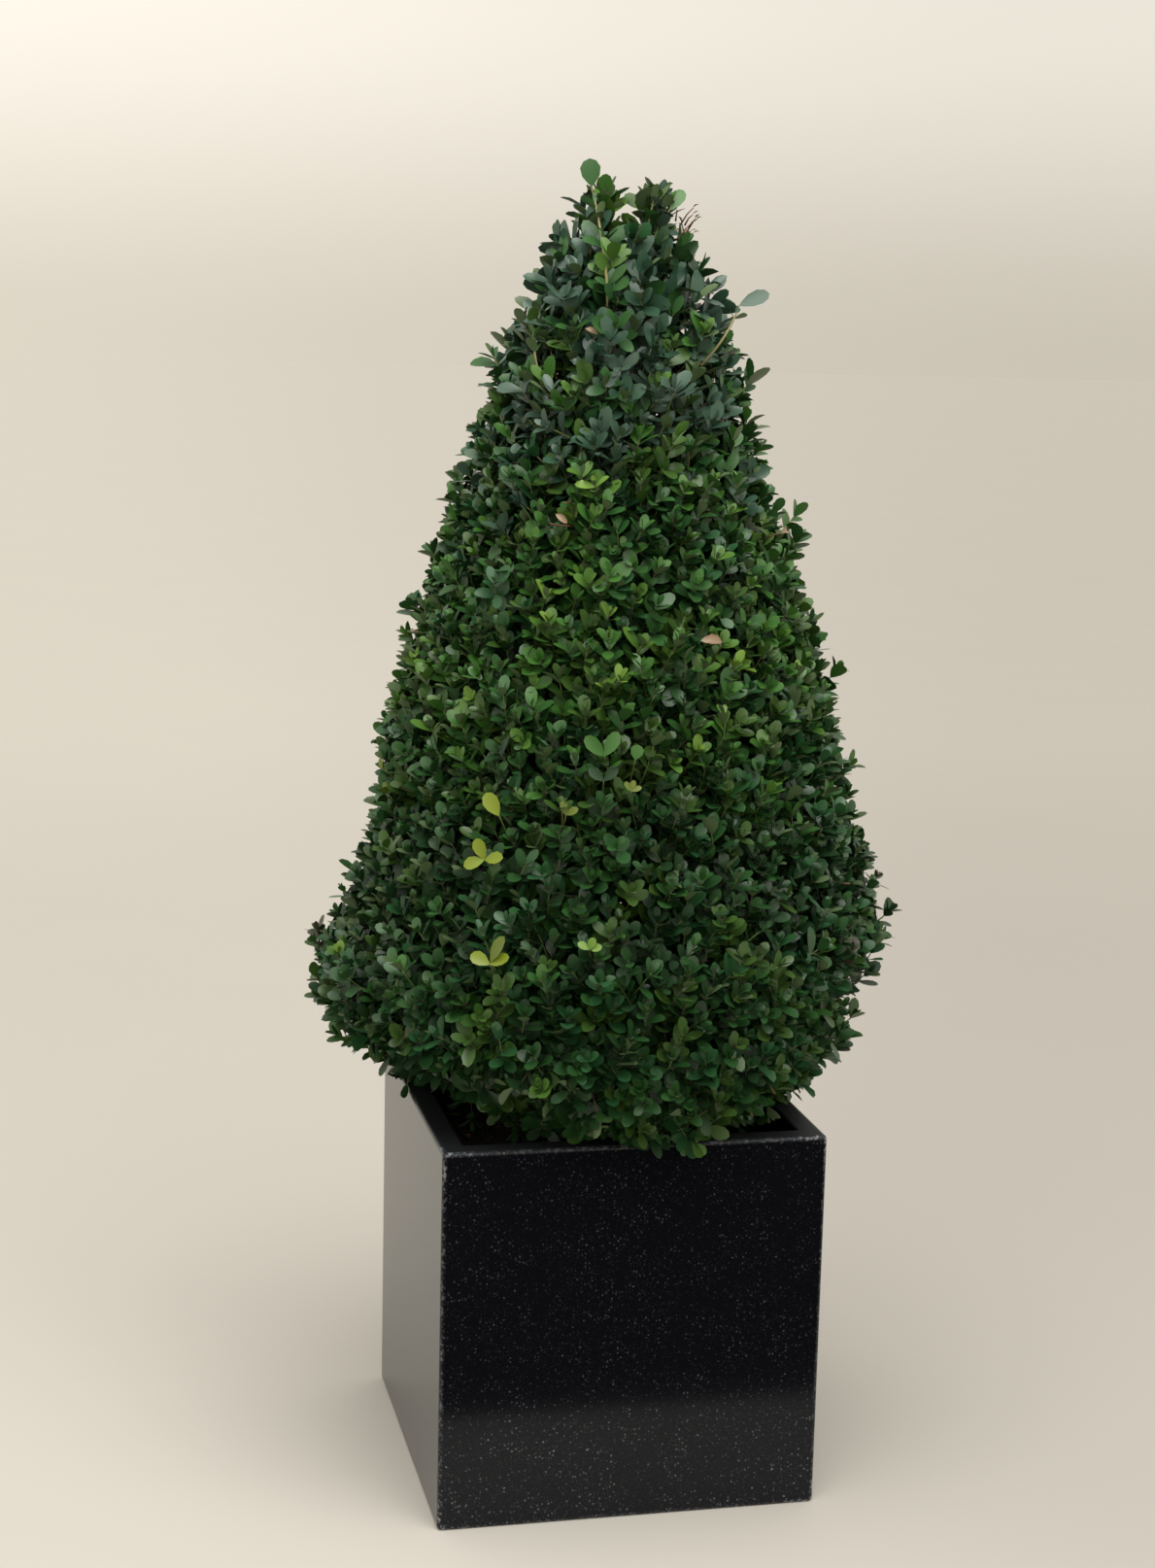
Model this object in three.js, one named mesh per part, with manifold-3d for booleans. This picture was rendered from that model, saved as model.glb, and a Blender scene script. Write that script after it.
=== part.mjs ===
// A boxwood clipped to a cone, growing in a square terrazzo planter.
// Millimetres, +Z up, origin in the middle of the planter's underside, front towards -Y.
// The planter holds compost. One trunk stands on it and forks near the top into three
// leaders. Boughs leave the trunk in three tiers, and each carries one mass of foliage:
// a stem, a core, and leafy twigs that stand out of the core to the clipped outline.

import * as THREE from 'three';
import { mergeVertices } from 'three/addons/utils/BufferGeometryUtils.js';
import Module from 'manifold-3d';

const wasm = await Module();
wasm.setup();

const { PI, sin, cos, sqrt, max, min, abs, hypot } = Math;
const degrees = PI / 180;
const gap = 0.3;
const smallestEdge = 0.05;

// ---- driving dimensions ----

const planter = { width: 400, height: 400, wall: 25, base: 25, corner: 5, edge: 4, segments: 2 };
const compost = { belowRim: 38, swell: 7, flatRadius: 45, squares: 5 };
const trunk = {
  forkHeight: 1150, baseRadius: 16, tipRadius: 9, flare: 10, flareFade: 0.05, lean: 5, sides: 8, steps: 12,
};
const leader = { spread: 5, radius: 3.8, tipRadius: 3.2 };

// The clipped outline: a rounded skirt, a straight cone above its waist, a domed top.
const crown = {
  foot: 372, footRadius: 190,
  waist: 565, waistRadius: 300,
  shoulder: 1170, shoulderRadius: 132,
  top: 1345,
};

// Broad swellings and hollows of the outline: azimuth in degrees, height, extra reach, and how
// wide each is.
const swellings = [
  { azimuth: 196, height: 500, reach: 16, wide: 34, tall: 75 },
  { azimuth: -8, height: 610, reach: 12, wide: 26, tall: 45 },
  { azimuth: -70, height: 470, reach: 12, wide: 40, tall: 60 },
  { azimuth: 95, height: 540, reach: 10, wide: 45, tall: 80 },
  { azimuth: -12, height: 440, reach: -20, wide: 45, tall: 75 },
  { azimuth: 225, height: 390, reach: -50, wide: 34, tall: 55 },
  { azimuth: -46, height: 390, reach: -45, wide: 22, tall: 50 },
  { azimuth: 168, height: 670, reach: -22, wide: 50, tall: 95 },
  { azimuth: -12, height: 890, reach: 14, wide: 60, tall: 150 },
  { azimuth: 168, height: 1250, reach: -13, wide: 70, tall: 110 },
];

// A leaf is widest and thickest at shares of its length, and its edges stand up by the cup.
const leaf = {
  length: 58, width: 34, thickness: 1.6, widest: 0.56, thickest: 0.3, cup: 0.2, sink: 0.5, variation: 0.2,
};
// Pairs of leaves by their share of the way along a twig and how far they spread from it.
const leafPairs = [{ share: 0.56, spread: 64 * degrees }, { share: 0.97, spread: 50 * degrees }];
const crestPairs = [{ share: 0.5, spread: 58 * degrees }, { share: 0.96, spread: 24 * degrees }];
const leafNudges = [0, 0.4, -0.4, 0.8, -0.8, 1.2, -1.2];
const clearance = 1.5;

// A twig roots in the core below its tip, and its tip stops short of the outline.
const twig = {
  radius: 3.2, tipRadius: 2.4, sides: 3, climb: 22, rooting: 0.84,
  short: 31, uneven: 10, margin: 18, overRim: 8,
};
const stem = { radius: 5.5, tipRadius: 4.5, length: 40, sides: 6 };
const core = { inset: 42, hollow: 0.45, seam: 1.6, underside: 34, rise: 0.22, rounds: 3, levels: 3 };
const bough = { short: 15, skirtRadius: 8, radius: 7, sides: 5, steps: 4 };

// Tiers of foliage masses from the skirt upwards. Boughs rise to their masses from the trunk.
const tiers = [
  { name: 'skirt', masses: 5, turn: -18, low: crown.foot, high: 650, bough: [425, 520], twigs: 10, seed: 18 },
  { name: 'middle', masses: 4, turn: 20, low: 650, high: 940, bough: [620, 765], twigs: 10, seed: 84 },
  { name: 'upper', masses: 3, turn: -35, low: 940, high: 1225, bough: [950, 1035], twigs: 9, seed: 13 },
];

// The tufts that the leaders carry above the top tier: the leader's azimuth, where the tip stands,
// and how near to the axis the tips of its twigs may stop.
const tufts = [
  { name: 'left', azimuth: 200, tip: [-27, -6], top: 1380, narrowest: 32, twigs: 7 },
  { name: 'right', azimuth: -40, tip: [34, -19], top: 1364, narrowest: 44, twigs: 7 },
  { name: 'back', azimuth: 80, tip: [6, 35], top: 1340, narrowest: 40, twigs: 7 },
];
const tuftShape = { floor: 1234, stemReach: 24, tipLeaf: 50, lowest: 16, crest: 70, seed: 64 };

const colours = {
  planter: 0x141416, compost: 0x2b2018, bark: 0x6b5a42, shoot: 0x8a7a3e,
  skirt: 0x2e5a24, middle: 0x33662a, upper: 0x2b5231, tuft: 0x345c3a,
};

// ---- seeded choices ----

function seededRandom(seed) {
  let state = seed >>> 0;
  return () => {
    state = (state + 0x6d2b79f5) >>> 0;
    let mixed = Math.imul(state ^ (state >>> 15), state | 1);
    mixed ^= mixed + Math.imul(mixed ^ (mixed >>> 7), mixed | 61);
    return ((mixed ^ (mixed >>> 14)) >>> 0) / 4294967296;
  };
}

// The index-th of a run of points that spread evenly over a unit square.
function evenPoint(index, seed) {
  const plastic = 1.32471795724;
  return [(seed * 0.37 + index / plastic) % 1, (seed * 0.71 + index / plastic ** 2) % 1];
}

// ---- solids ----

function solidOf(geometry) {
  const bare = geometry.clone();
  bare.deleteAttribute('normal');
  bare.deleteAttribute('uv');
  const merged = mergeVertices(bare, 1e-4);
  return new wasm.Manifold(new wasm.Mesh({
    numProp: 3,
    vertProperties: merged.attributes.position.array,
    triVerts: new Uint32Array(merged.index.array),
  }));
}

function geometryOf(solid) {
  const mesh = solid.simplify(smallestEdge).getMesh();
  const geometry = new THREE.BufferGeometry();
  geometry.setAttribute('position', new THREE.BufferAttribute(mesh.vertProperties, 3));
  geometry.setIndex(new THREE.BufferAttribute(mesh.triVerts, 1));
  geometry.computeVertexNormals();
  return geometry;
}

const join = (solids) => solids.reduce((whole, piece) => whole.add(piece));

function reshape(geometry, move) {
  const places = geometry.attributes.position;
  const point = new THREE.Vector3();
  for (let i = 0; i < places.count; i += 1) {
    move(point.fromBufferAttribute(places, i));
    places.setXYZ(i, point.x, point.y, point.z);
  }
  return geometry;
}

// A limb of round section along a curve, its radius given by the share of the way along.
function limb(curve, radiusAt, sides, steps) {
  const rod = new THREE.CylinderGeometry(1, 1, 1, sides, steps);
  return reshape(rod, (point) => {
    const share = min(1, max(0, point.y + 0.5));
    const along = curve.getTangent(share);
    const side = new THREE.Vector3(0, 1, 0).cross(along).normalize();
    if (side.lengthSq() < 0.5) side.set(1, 0, 0);
    const across = new THREE.Vector3().crossVectors(along, side);
    const radius = radiusAt(share);
    const { x, z } = point;
    point.copy(curve.getPoint(share)).addScaledVector(side, z * radius).addScaledVector(across, x * radius);
  });
}

const tapering = (from, to) => (share) => from + (to - from) * share;
const onRing = (azimuth, radius, height) =>
  new THREE.Vector3(radius * cos(azimuth), radius * sin(azimuth), height);

// ---- the clipped outline ----

function swell(azimuth, height) {
  return swellings.reduce((sum, lobe) => {
    let turned = abs(azimuth / degrees - lobe.azimuth) % 360;
    if (turned > 180) turned = 360 - turned;
    const away = (turned / lobe.wide) ** 2 + ((height - lobe.height) / lobe.tall) ** 2;
    return sum + lobe.reach * Math.exp(-away);
  }, 0);
}

// How far the crown reaches from its axis at a height, taken in by an inset.
function outline(azimuth, height, inset = 0) {
  const { foot, footRadius, waist, waistRadius, shoulder, shoulderRadius, top } = crown;
  let radius;
  if (height < waist) {
    const drop = min(1, (waist - height) / (waist - foot - inset));
    radius = waistRadius - (waistRadius - footRadius) * (1 - sqrt(1 - drop * drop));
  } else if (height < shoulder) {
    radius = waistRadius + (shoulderRadius - waistRadius) * (height - waist) / (shoulder - waist);
  } else {
    radius = shoulderRadius * max(0, 1 - ((height - shoulder) / (top - shoulder)) ** 1.7) ** 0.6;
  }
  return max(0, radius - inset) + swell(azimuth, height);
}

// ---- leaves and twigs ----

// A flattened octahedron: root at the origin, tip along `along`, upper face towards `facing`.
function leafShape(root, along, facing, scale) {
  const side = new THREE.Vector3().crossVectors(along, facing).normalize();
  const up = new THREE.Vector3().crossVectors(side, along).normalize();
  const length = leaf.length * scale;
  const half = leaf.width * scale / 2;
  return reshape(new THREE.OctahedronGeometry(1), (point) => {
    const { x, y, z } = point;
    const onEdge = abs(z) > 0.5;
    const forward = (x > 0.5 ? 1 : x < -0.5 ? 0 : onEdge ? leaf.widest : leaf.thickest) * length;
    const lift = onEdge ? half * leaf.cup : y * leaf.thickness / 2;
    point.copy(root).addScaledVector(along, forward);
    point.addScaledVector(side, z * half).addScaledVector(up, lift);
  });
}

// Where two closed shapes share any space.
function crosses(solid, other) {
  const [a, b] = [solid.boundingBox(), other.boundingBox()];
  const apart = [0, 1, 2].some((axis) => a.min[axis] > b.max[axis] || b.min[axis] > a.max[axis]);
  return !apart && !solid.intersect(other).isEmpty();
}

// The planter's block with some room round it, which foliage keeps out of.
const planterRoom = solidOf(new THREE.BoxGeometry(
  planter.width + 2 * clearance, planter.width + 2 * clearance, planter.height + clearance,
).translate(0, 0, (planter.height + clearance) / 2));

// A pair of leaves part way along each twig and a pair at its tip, each turned across the last.
// A leaf that would leave its mass's space, or cross a leaf, a twig or the planter, is nudged
// round the twig and then skipped.
function leavesOn(shoots, space, random) {
  const radius = tapering(twig.radius, twig.tipRadius);
  const lines = shoots.map(({ base, tip }) => new THREE.LineCurve3(base, tip));
  const rods = lines.map((line) => solidOf(limb(line, radius, twig.sides, 1)));
  const leaves = [];
  const turn = new THREE.Quaternion();
  shoots.forEach(({ base, tip, pairs = leafPairs }, own) => {
    const along = new THREE.Vector3().subVectors(tip, base).normalize();
    const first = new THREE.Vector3(0, 0, 1).cross(along).normalize();
    let roll = random() * PI;
    pairs.forEach(({ share, spread }) => {
      const joint = new THREE.Vector3().lerpVectors(base, tip, share);
      const scale = 1 + leaf.variation * (random() - 0.5);
      const others = [planterRoom, ...rods.filter((rod, index) => index !== own), ...leaves];
      for (const half of [0, PI]) {
        for (const nudge of leafNudges) {
          const out = first.clone().applyQuaternion(turn.setFromAxisAngle(along, roll + half + nudge));
          const blade = along.clone().multiplyScalar(cos(spread)).addScaledVector(out, sin(spread));
          const facing = along.clone().multiplyScalar(sin(spread)).addScaledVector(out, -cos(spread));
          const root = joint.clone().addScaledVector(blade, -leaf.sink);
          const geometry = leafShape(root, blade, facing, scale);
          if (!space(geometry)) continue;
          const solid = solidOf(geometry);
          if (others.some((other) => crosses(solid, other))) continue;
          leaves.push(solid);
          break;
        }
      }
      roll += PI / 2;
    });
  });
  return [...rods, ...leaves];
}

// True where every corner of a piece keeps to a sector of the crown.
function sectorSpace({ from, to, low, high, innerRadius = 0 }) {
  const middle = (from + to) / 2;
  const halfTurn = (to - from) / 2;
  return (geometry) => {
    const places = geometry.attributes.position;
    for (let i = 0; i < places.count; i += 1) {
      const [x, y, z] = [places.getX(i), places.getY(i), places.getZ(i)];
      const radius = hypot(x, y);
      let turned = (Math.atan2(y, x) - middle) % (2 * PI);
      if (turned > PI) turned -= 2 * PI;
      if (turned < -PI) turned += 2 * PI;
      const fromSide = radius * sin(min(PI / 2, max(0, halfTurn - abs(turned))));
      if (abs(turned) > halfTurn || fromSide < clearance || radius < innerRadius) return false;
      if (z < low + levelRise(radius, low) + clearance) return false;
      if (z > high + levelRise(radius, high) - clearance) return false;
    }
    return true;
  };
}

// ---- masses of foliage ----

// The levels that part the tiers rise away from the trunk, less and less towards the crown's foot.
const levelRise = (radius, level) => {
  const share = min(1, (level - crown.foot) / (tiers[0].high - crown.foot));
  return core.rise * share * (radius - crown.shoulderRadius);
};
const onLevel = (azimuth, radius, level) => onRing(azimuth, radius, level + levelRise(radius, level));

const coreRadius = (azimuth, level) => max(outline(azimuth, level, core.inset), core.inset);

// The core of a sector: a shell that follows the outline, hollow towards the trunk.
function coreSolid({ from, to, low, high }) {
  const block = new THREE.BoxGeometry(1, 1, 1, 1, core.rounds, core.levels);
  return solidOf(reshape(block, (point) => {
    const level = low + (high - low) * (point.z + 0.5);
    const reach = coreRadius(from + (to - from) * (point.y + 0.5), level);
    const radius = reach * (core.hollow + (1 - core.hollow) * (point.x + 0.5));
    const seamTurn = core.seam / radius;
    const azimuth = from + seamTurn + (to - from - 2 * seamTurn) * (point.y + 0.5);
    point.copy(onLevel(azimuth, radius, level));
  }));
}

function foliageMass(tier, index) {
  const seed = tier.seed + index;
  const random = seededRandom(seed);
  const { low, high } = tier;
  const width = 2 * PI / tier.masses;
  const from = tier.turn * degrees + width * index;
  const to = from + width;
  const lowest = low === crown.foot;
  const coreLow = low + (lowest ? core.underside : core.seam);
  const coreHigh = high - core.seam;
  const shoots = [];
  for (let i = 0; i < tier.twigs; i += 1) {
    const [round, height] = evenPoint(i, seed);
    const level = low + twig.margin + (high - low - 2 * twig.margin) * height;
    const margin = twig.margin / outline(0, level);
    const azimuth = from + margin + (width - 2 * margin) * round;
    const reach = outline(azimuth, level) - twig.short - twig.uneven * random();
    const rootLevel = min(coreHigh - twig.margin, max(coreLow + twig.margin, level - twig.climb));
    const rootRadius = coreRadius(azimuth, rootLevel) * twig.rooting;
    const tip = onLevel(azimuth, reach, level);
    const overPlanter = max(abs(tip.x), abs(tip.y)) < planter.width / 2 + twig.overRim;
    if (overPlanter) tip.z = max(tip.z, planter.height + twig.overRim);
    shoots.push({ base: onLevel(azimuth, rootRadius, rootLevel), tip });
  }
  const space = sectorSpace({ from, to, low, high });
  const heart = coreSolid({ from, to, low: coreLow, high: coreHigh });
  return join([heart, stemSolid(tier, (from + to) / 2), ...leavesOn(shoots, space, random)]);
}

// ---- limbs ----

function trunkCurve() {
  const foot = planter.height - compost.belowRim + gap;
  const { forkHeight, lean } = trunk;
  return new THREE.CatmullRomCurve3([
    new THREE.Vector3(0, 0, foot),
    new THREE.Vector3(0, 0, foot + 30),
    new THREE.Vector3(-lean, lean * 0.6, foot + (forkHeight - foot) * 0.35),
    new THREE.Vector3(lean * 0.8, -lean * 0.5, foot + (forkHeight - foot) * 0.7),
    new THREE.Vector3(0, 0, forkHeight - 20),
    new THREE.Vector3(0, 0, forkHeight),
  ]);
}

// The trunk, or the room that it needs when it is made fatter.
function trunkSolid(fatter = 0) {
  const { baseRadius, tipRadius, flare, flareFade, sides, steps } = trunk;
  const taper = tapering(baseRadius, tipRadius);
  const radius = (share) => taper(share) + flare * Math.exp(-share / flareFade) + fatter;
  return solidOf(limb(trunkCurve(), radius, sides, steps));
}

// The line of a tier's bough, from the trunk's middle out and up to the mass at an azimuth.
function boughCurve(tier, azimuth) {
  const [from, to] = tier.bough;
  const reach = coreRadius(0, to) * core.hollow - bough.short;
  return new THREE.CatmullRomCurve3([
    onRing(azimuth, 0, from),
    onRing(azimuth, reach * 0.3, from + (to - from) * 0.2),
    onRing(azimuth, reach * 0.68, from + (to - from) * 0.6),
    onRing(azimuth, reach, to),
  ]);
}

function boughSolid(tier, azimuth) {
  const radius = tapering(tier === tiers[0] ? bough.skirtRadius : bough.radius, stem.radius);
  const whole = solidOf(limb(boughCurve(tier, azimuth), radius, bough.sides, bough.steps));
  return whole.subtract(trunkSolid(gap));
}

// A mass's stem carries its bough on into the core.
function stemSolid(tier, azimuth) {
  const curve = boughCurve(tier, azimuth);
  const along = curve.getTangent(1);
  const start = curve.getPoint(1).addScaledVector(along, gap);
  const end = start.clone().addScaledVector(along, stem.length);
  const radius = tapering(stem.radius, stem.tipRadius);
  return solidOf(limb(new THREE.LineCurve3(start, end), radius, stem.sides, 1));
}

function leaderCurve(azimuth) {
  const start = trunk.forkHeight + gap;
  const finish = tuftShape.floor + 2;
  const out = tuftShape.stemReach;
  return new THREE.CatmullRomCurve3([
    onRing(azimuth, leader.spread, start),
    onRing(azimuth, leader.spread, start + (finish - start) * 0.2),
    onRing(azimuth, out - 3, start + (finish - start) * 0.7),
    onRing(azimuth, out, finish),
  ]);
}

// The stem of a tuft carries its leader on to the tip.
function tuftStem(tuft) {
  const azimuth = tuft.azimuth * degrees;
  const curve = leaderCurve(azimuth);
  const start = curve.getPoint(1).addScaledVector(curve.getTangent(1), gap);
  const tip = new THREE.Vector3(...tuft.tip, tuft.top - tuftShape.tipLeaf);
  return { base: start, tip, pairs: crestPairs };
}

// A tuft keeps to the turn halfway to each neighbour, and its open twigs wind up the stem.
function tuftMass(tuft, index) {
  const azimuth = tuft.azimuth * degrees;
  const random = seededRandom(tuftShape.seed + index);
  const halfTurn = PI / tufts.length;
  const room = { from: azimuth - halfTurn, to: azimuth + halfTurn, low: tuftShape.floor, high: Infinity };
  const main = tuftStem(tuft);
  const shoots = [main];
  for (let i = 0; i < tuft.twigs; i += 1) {
    const share = i / tuft.twigs;
    const base = new THREE.Vector3().lerpVectors(main.base, main.tip, 0.05 + 0.6 * share);
    const side = 2 * evenPoint(i, tuftShape.seed + index)[0] - 1;
    const turn = azimuth + side * halfTurn * 0.85;
    const climb = (tuft.top - tuftShape.floor - tuftShape.crest) * share + twig.uneven * random();
    const height = tuftShape.floor + tuftShape.lowest + climb;
    const reach = max(tuft.narrowest, outline(turn, height) - twig.short);
    shoots.push({ base, tip: onRing(turn, reach, height) });
  }
  return join(leavesOn(shoots, sectorSpace({ ...room, innerRadius: 3 }), random));
}

// ---- planter and compost ----

function roundedSquare(width, corner) {
  const half = width / 2;
  const shape = new THREE.Shape();
  shape.moveTo(-half + corner, -half);
  shape.lineTo(half - corner, -half);
  shape.absarc(half - corner, -half + corner, corner, -PI / 2, 0);
  shape.lineTo(half, half - corner);
  shape.absarc(half - corner, half - corner, corner, 0, PI / 2);
  shape.lineTo(-half + corner, half);
  shape.absarc(-half + corner, half - corner, corner, PI / 2, PI);
  shape.lineTo(-half, -half + corner);
  shape.absarc(-half + corner, -half + corner, corner, PI, PI * 1.5);
  return shape;
}

function planterSolid() {
  const { width, height, wall, base, corner, edge, segments } = planter;
  const outside = new THREE.ExtrudeGeometry(roundedSquare(width, corner), {
    depth: height - 2 * edge, curveSegments: segments,
    bevelThickness: edge, bevelSize: edge, bevelOffset: -edge, bevelSegments: 1,
  }).translate(0, 0, edge);
  const inside = new THREE.ExtrudeGeometry(roundedSquare(width - 2 * wall, corner), {
    depth: height, curveSegments: segments, bevelEnabled: false,
  }).translate(0, 0, base);
  return solidOf(outside).subtract(solidOf(inside));
}

// The compost fills the planter to below its rim, flat round the trunk and uneven towards the walls.
function compostSolid() {
  const { belowRim, swell, flatRadius, squares } = compost;
  const width = planter.width - 2 * planter.wall - 2 * gap;
  const top = planter.height - belowRim;
  const floor = planter.base + gap;
  const block = new THREE.BoxGeometry(width, width, top - floor, squares, squares, 1);
  block.translate(0, 0, (top + floor) / 2);
  reshape(block, (point) => {
    const away = min(1, 4 * max(0, hypot(point.x, point.y) - flatRadius) / width);
    if (point.z > floor + 1) point.z += swell * away * sin(point.x / 37) * cos(point.y / 43 + 0.6);
  });
  const walls = new THREE.ExtrudeGeometry(roundedSquare(width, planter.corner), {
    depth: planter.height, curveSegments: planter.segments, bevelEnabled: false,
  });
  return solidOf(block).intersect(solidOf(walls));
}

// ---- the assembly ----

const finish = (colour, roughness, metalness = 0) =>
  new THREE.MeshStandardMaterial({ color: colour, roughness, metalness });

const topiary = new THREE.Group();
function place(name, solid, material) {
  const mesh = new THREE.Mesh(geometryOf(solid), material);
  mesh.name = name;
  topiary.add(mesh);
}

place('planter', planterSolid(), finish(colours.planter, 0.12));
place('compost', compostSolid(), finish(colours.compost, 0.95));
place('trunk', trunkSolid(), finish(colours.bark, 0.85));

for (const tier of tiers) {
  for (let index = 0; index < tier.masses; index += 1) {
    const azimuth = tier.turn * degrees + 2 * PI / tier.masses * (index + 0.5);
    const name = `${tier.name}_${index + 1}`;
    place(`bough_${name}`, boughSolid(tier, azimuth), finish(colours.bark, 0.85));
    place(`foliage_${name}`, foliageMass(tier, index), finish(colours[tier.name], 0.45));
  }
}

tufts.forEach((tuft, index) => {
  const rod = limb(leaderCurve(tuft.azimuth * degrees), tapering(leader.radius, leader.tipRadius), 6, 3);
  place(`leader_${tuft.name}`, solidOf(rod), finish(colours.shoot, 0.7));
  place(`tuft_${tuft.name}`, tuftMass(tuft, index), finish(colours.tuft, 0.45));
});

export default topiary;
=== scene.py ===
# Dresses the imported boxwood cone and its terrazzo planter.
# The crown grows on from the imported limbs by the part's rule, carried to finer twigs and leaves.
# Metres, +Z up, front towards -Y.
import random
from math import cos, degrees, exp, hypot, pi, radians, sin, sqrt

import bpy
import numpy as np
from mathutils import Matrix, Vector, noise


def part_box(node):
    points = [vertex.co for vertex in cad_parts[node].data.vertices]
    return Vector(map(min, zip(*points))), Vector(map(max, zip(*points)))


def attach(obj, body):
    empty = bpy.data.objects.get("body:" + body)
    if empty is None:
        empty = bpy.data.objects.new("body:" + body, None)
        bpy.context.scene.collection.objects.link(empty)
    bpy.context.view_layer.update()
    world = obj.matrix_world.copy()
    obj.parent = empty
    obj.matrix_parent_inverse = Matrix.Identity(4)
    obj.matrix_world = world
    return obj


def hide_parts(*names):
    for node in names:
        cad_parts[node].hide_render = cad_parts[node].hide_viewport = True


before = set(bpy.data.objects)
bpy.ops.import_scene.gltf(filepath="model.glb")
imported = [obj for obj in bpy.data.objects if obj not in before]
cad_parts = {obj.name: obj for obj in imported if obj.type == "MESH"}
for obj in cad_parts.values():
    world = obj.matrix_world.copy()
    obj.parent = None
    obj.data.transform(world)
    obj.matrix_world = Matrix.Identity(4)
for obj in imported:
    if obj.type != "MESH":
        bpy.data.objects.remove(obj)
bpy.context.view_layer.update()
scene = bpy.context.scene
up = Vector((0, 0, 1))
print("stage: frame loaded,", len(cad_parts), "nodes")


def bothWays(operation):
    # An operator and its reflected form.
    return (
        lambda wire, other: wire.maths(operation, wire, other),
        lambda wire, other: wire.maths(operation, other, wire),
    )


class Wire:
    # An output inside a finish. Arithmetic on wires adds Math nodes.
    __add__, __radd__ = bothWays("ADD")
    __sub__, __rsub__ = bothWays("SUBTRACT")
    __mul__, __rmul__ = bothWays("MULTIPLY")
    __truediv__, __rtruediv__ = bothWays("DIVIDE")
    least, most = bothWays("MINIMUM")[0], bothWays("MAXIMUM")[0]

    def __init__(self, finish, socket):
        self.finish = finish
        self.socket = socket

    def maths(self, operation, first, second=0.0):
        return self.finish.node("ShaderNodeMath", {"operation": operation}, {0: first, 1: second})

    def __abs__(self):
        return self.maths("ABSOLUTE", self)


class Finish:
    # A new material under way, or a world.
    def __init__(self, name, world=None):
        self.owner = world or bpy.data.materials.new(name)
        self.owner.use_nodes = True
        self.tree = self.owner.node_tree
        self.surface = self.tree.nodes["Background" if world else "Principled BSDF"]

    def fill(self, node, sockets):
        for key, value in sockets.items():
            if isinstance(value, Wire):
                self.tree.links.new(value.socket, node.inputs[key])
            else:
                node.inputs[key].default_value = value

    def node(self, kind, settings, sockets, output=0):
        # Adds any node: its settings first, then its sockets' values or links.
        node = self.tree.nodes.new(kind)
        for key, value in settings.items():
            setattr(node, key, value)
        self.fill(node, sockets)
        return Wire(self, node.outputs[output])

    def place(self, output="Object"):
        return self.node("ShaderNodeTexCoord", {}, {}, output)

    def axes(self, vector):
        return [self.node("ShaderNodeSeparateXYZ", {}, {0: vector}, axis) for axis in range(3)]

    def vectors(self, operation, *values, output=0):
        settings = {"operation": operation}
        return self.node("ShaderNodeVectorMath", settings, dict(enumerate(values)), output)

    def stretch(self, vector, scale):
        return self.vectors("MULTIPLY", vector, scale)

    def cloud(self, vector, scale, detail=3.0, roughness=0.55):
        sockets = {"Vector": vector, "Scale": scale, "Detail": detail, "Roughness": roughness}
        return self.node("ShaderNodeTexNoise", {}, sockets)

    def ease(self, value, low, high):
        settings = {"interpolation_type": "SMOOTHSTEP"}
        return self.node("ShaderNodeMapRange", settings, {0: value, 1: low, 2: high})

    def mix(self, factor, first, second):
        sockets = {0: factor, 6: first, 7: second}
        return self.node("ShaderNodeMix", {"data_type": "RGBA"}, sockets, 2)

    def bump(self, height, depth):
        return self.node("ShaderNodeBump", {}, {"Height": height, "Distance": depth})

    def dress(self, sockets):
        self.fill(self.surface, sockets)
        return self.owner


def plainFinish(name, colour, roughness, **sockets):
    return Finish(name).dress({"Base Color": (*colour, 1), "Roughness": roughness, **sockets})


def placed(name, data):
    # A new object in the scene that holds the data.
    holder = bpy.data.objects.new(name, data)
    scene.collection.objects.link(holder)
    return holder


def finished(mesh, materials, tones=None, smooth=True):
    for material in materials:
        mesh.materials.append(material)
    if tones is not None:
        mesh.polygons.foreach_set("material_index", np.asarray(tones, np.int32))
    mesh.polygons.foreach_set("use_smooth", np.full(len(mesh.polygons), smooth))
    mesh.update(calc_edges=True)
    return placed(mesh.name, mesh)


def arrayPiece(name, points, faces, materials, **look):
    # A mesh object from an array of points and one of equal-sided faces.
    mesh = bpy.data.meshes.new(name)
    mesh.vertices.add(len(points))
    mesh.vertices.foreach_set("co", np.asarray(points, np.float32).ravel())
    mesh.loops.add(faces.size)
    mesh.loops.foreach_set("vertex_index", np.asarray(faces, np.int32).ravel())
    mesh.polygons.add(len(faces))
    starts = np.arange(0, faces.size, faces.shape[1], dtype=np.int32)
    mesh.polygons.foreach_set("loop_start", starts)
    return finished(mesh, materials, **look)


def listPiece(name, points, faces, material):
    # A mesh object from lists, whose faces may have any number of sides.
    mesh = bpy.data.meshes.new(name)
    mesh.from_pydata(points, [], faces)
    return finished(mesh, [material])


def standFor(piece, slot, *nodes):
    # The piece rides on the plant's only body, in place of the nodes that it stands for.
    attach(piece, "root")
    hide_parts(*nodes)
    return piece


def table(names, *rows):
    # A dictionary for each row. The last names may be left out of a row.
    return [dict(zip(names.split(), row)) for row in rows]


def rise(value, low, span):
    # How far the value has come from low over the span, from 0 to 1.
    return max(0, min(1, (value - low) / span))


def onRing(azimuth, radius, height):
    return Vector((radius * cos(azimuth), radius * sin(azimuth), height))


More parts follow.
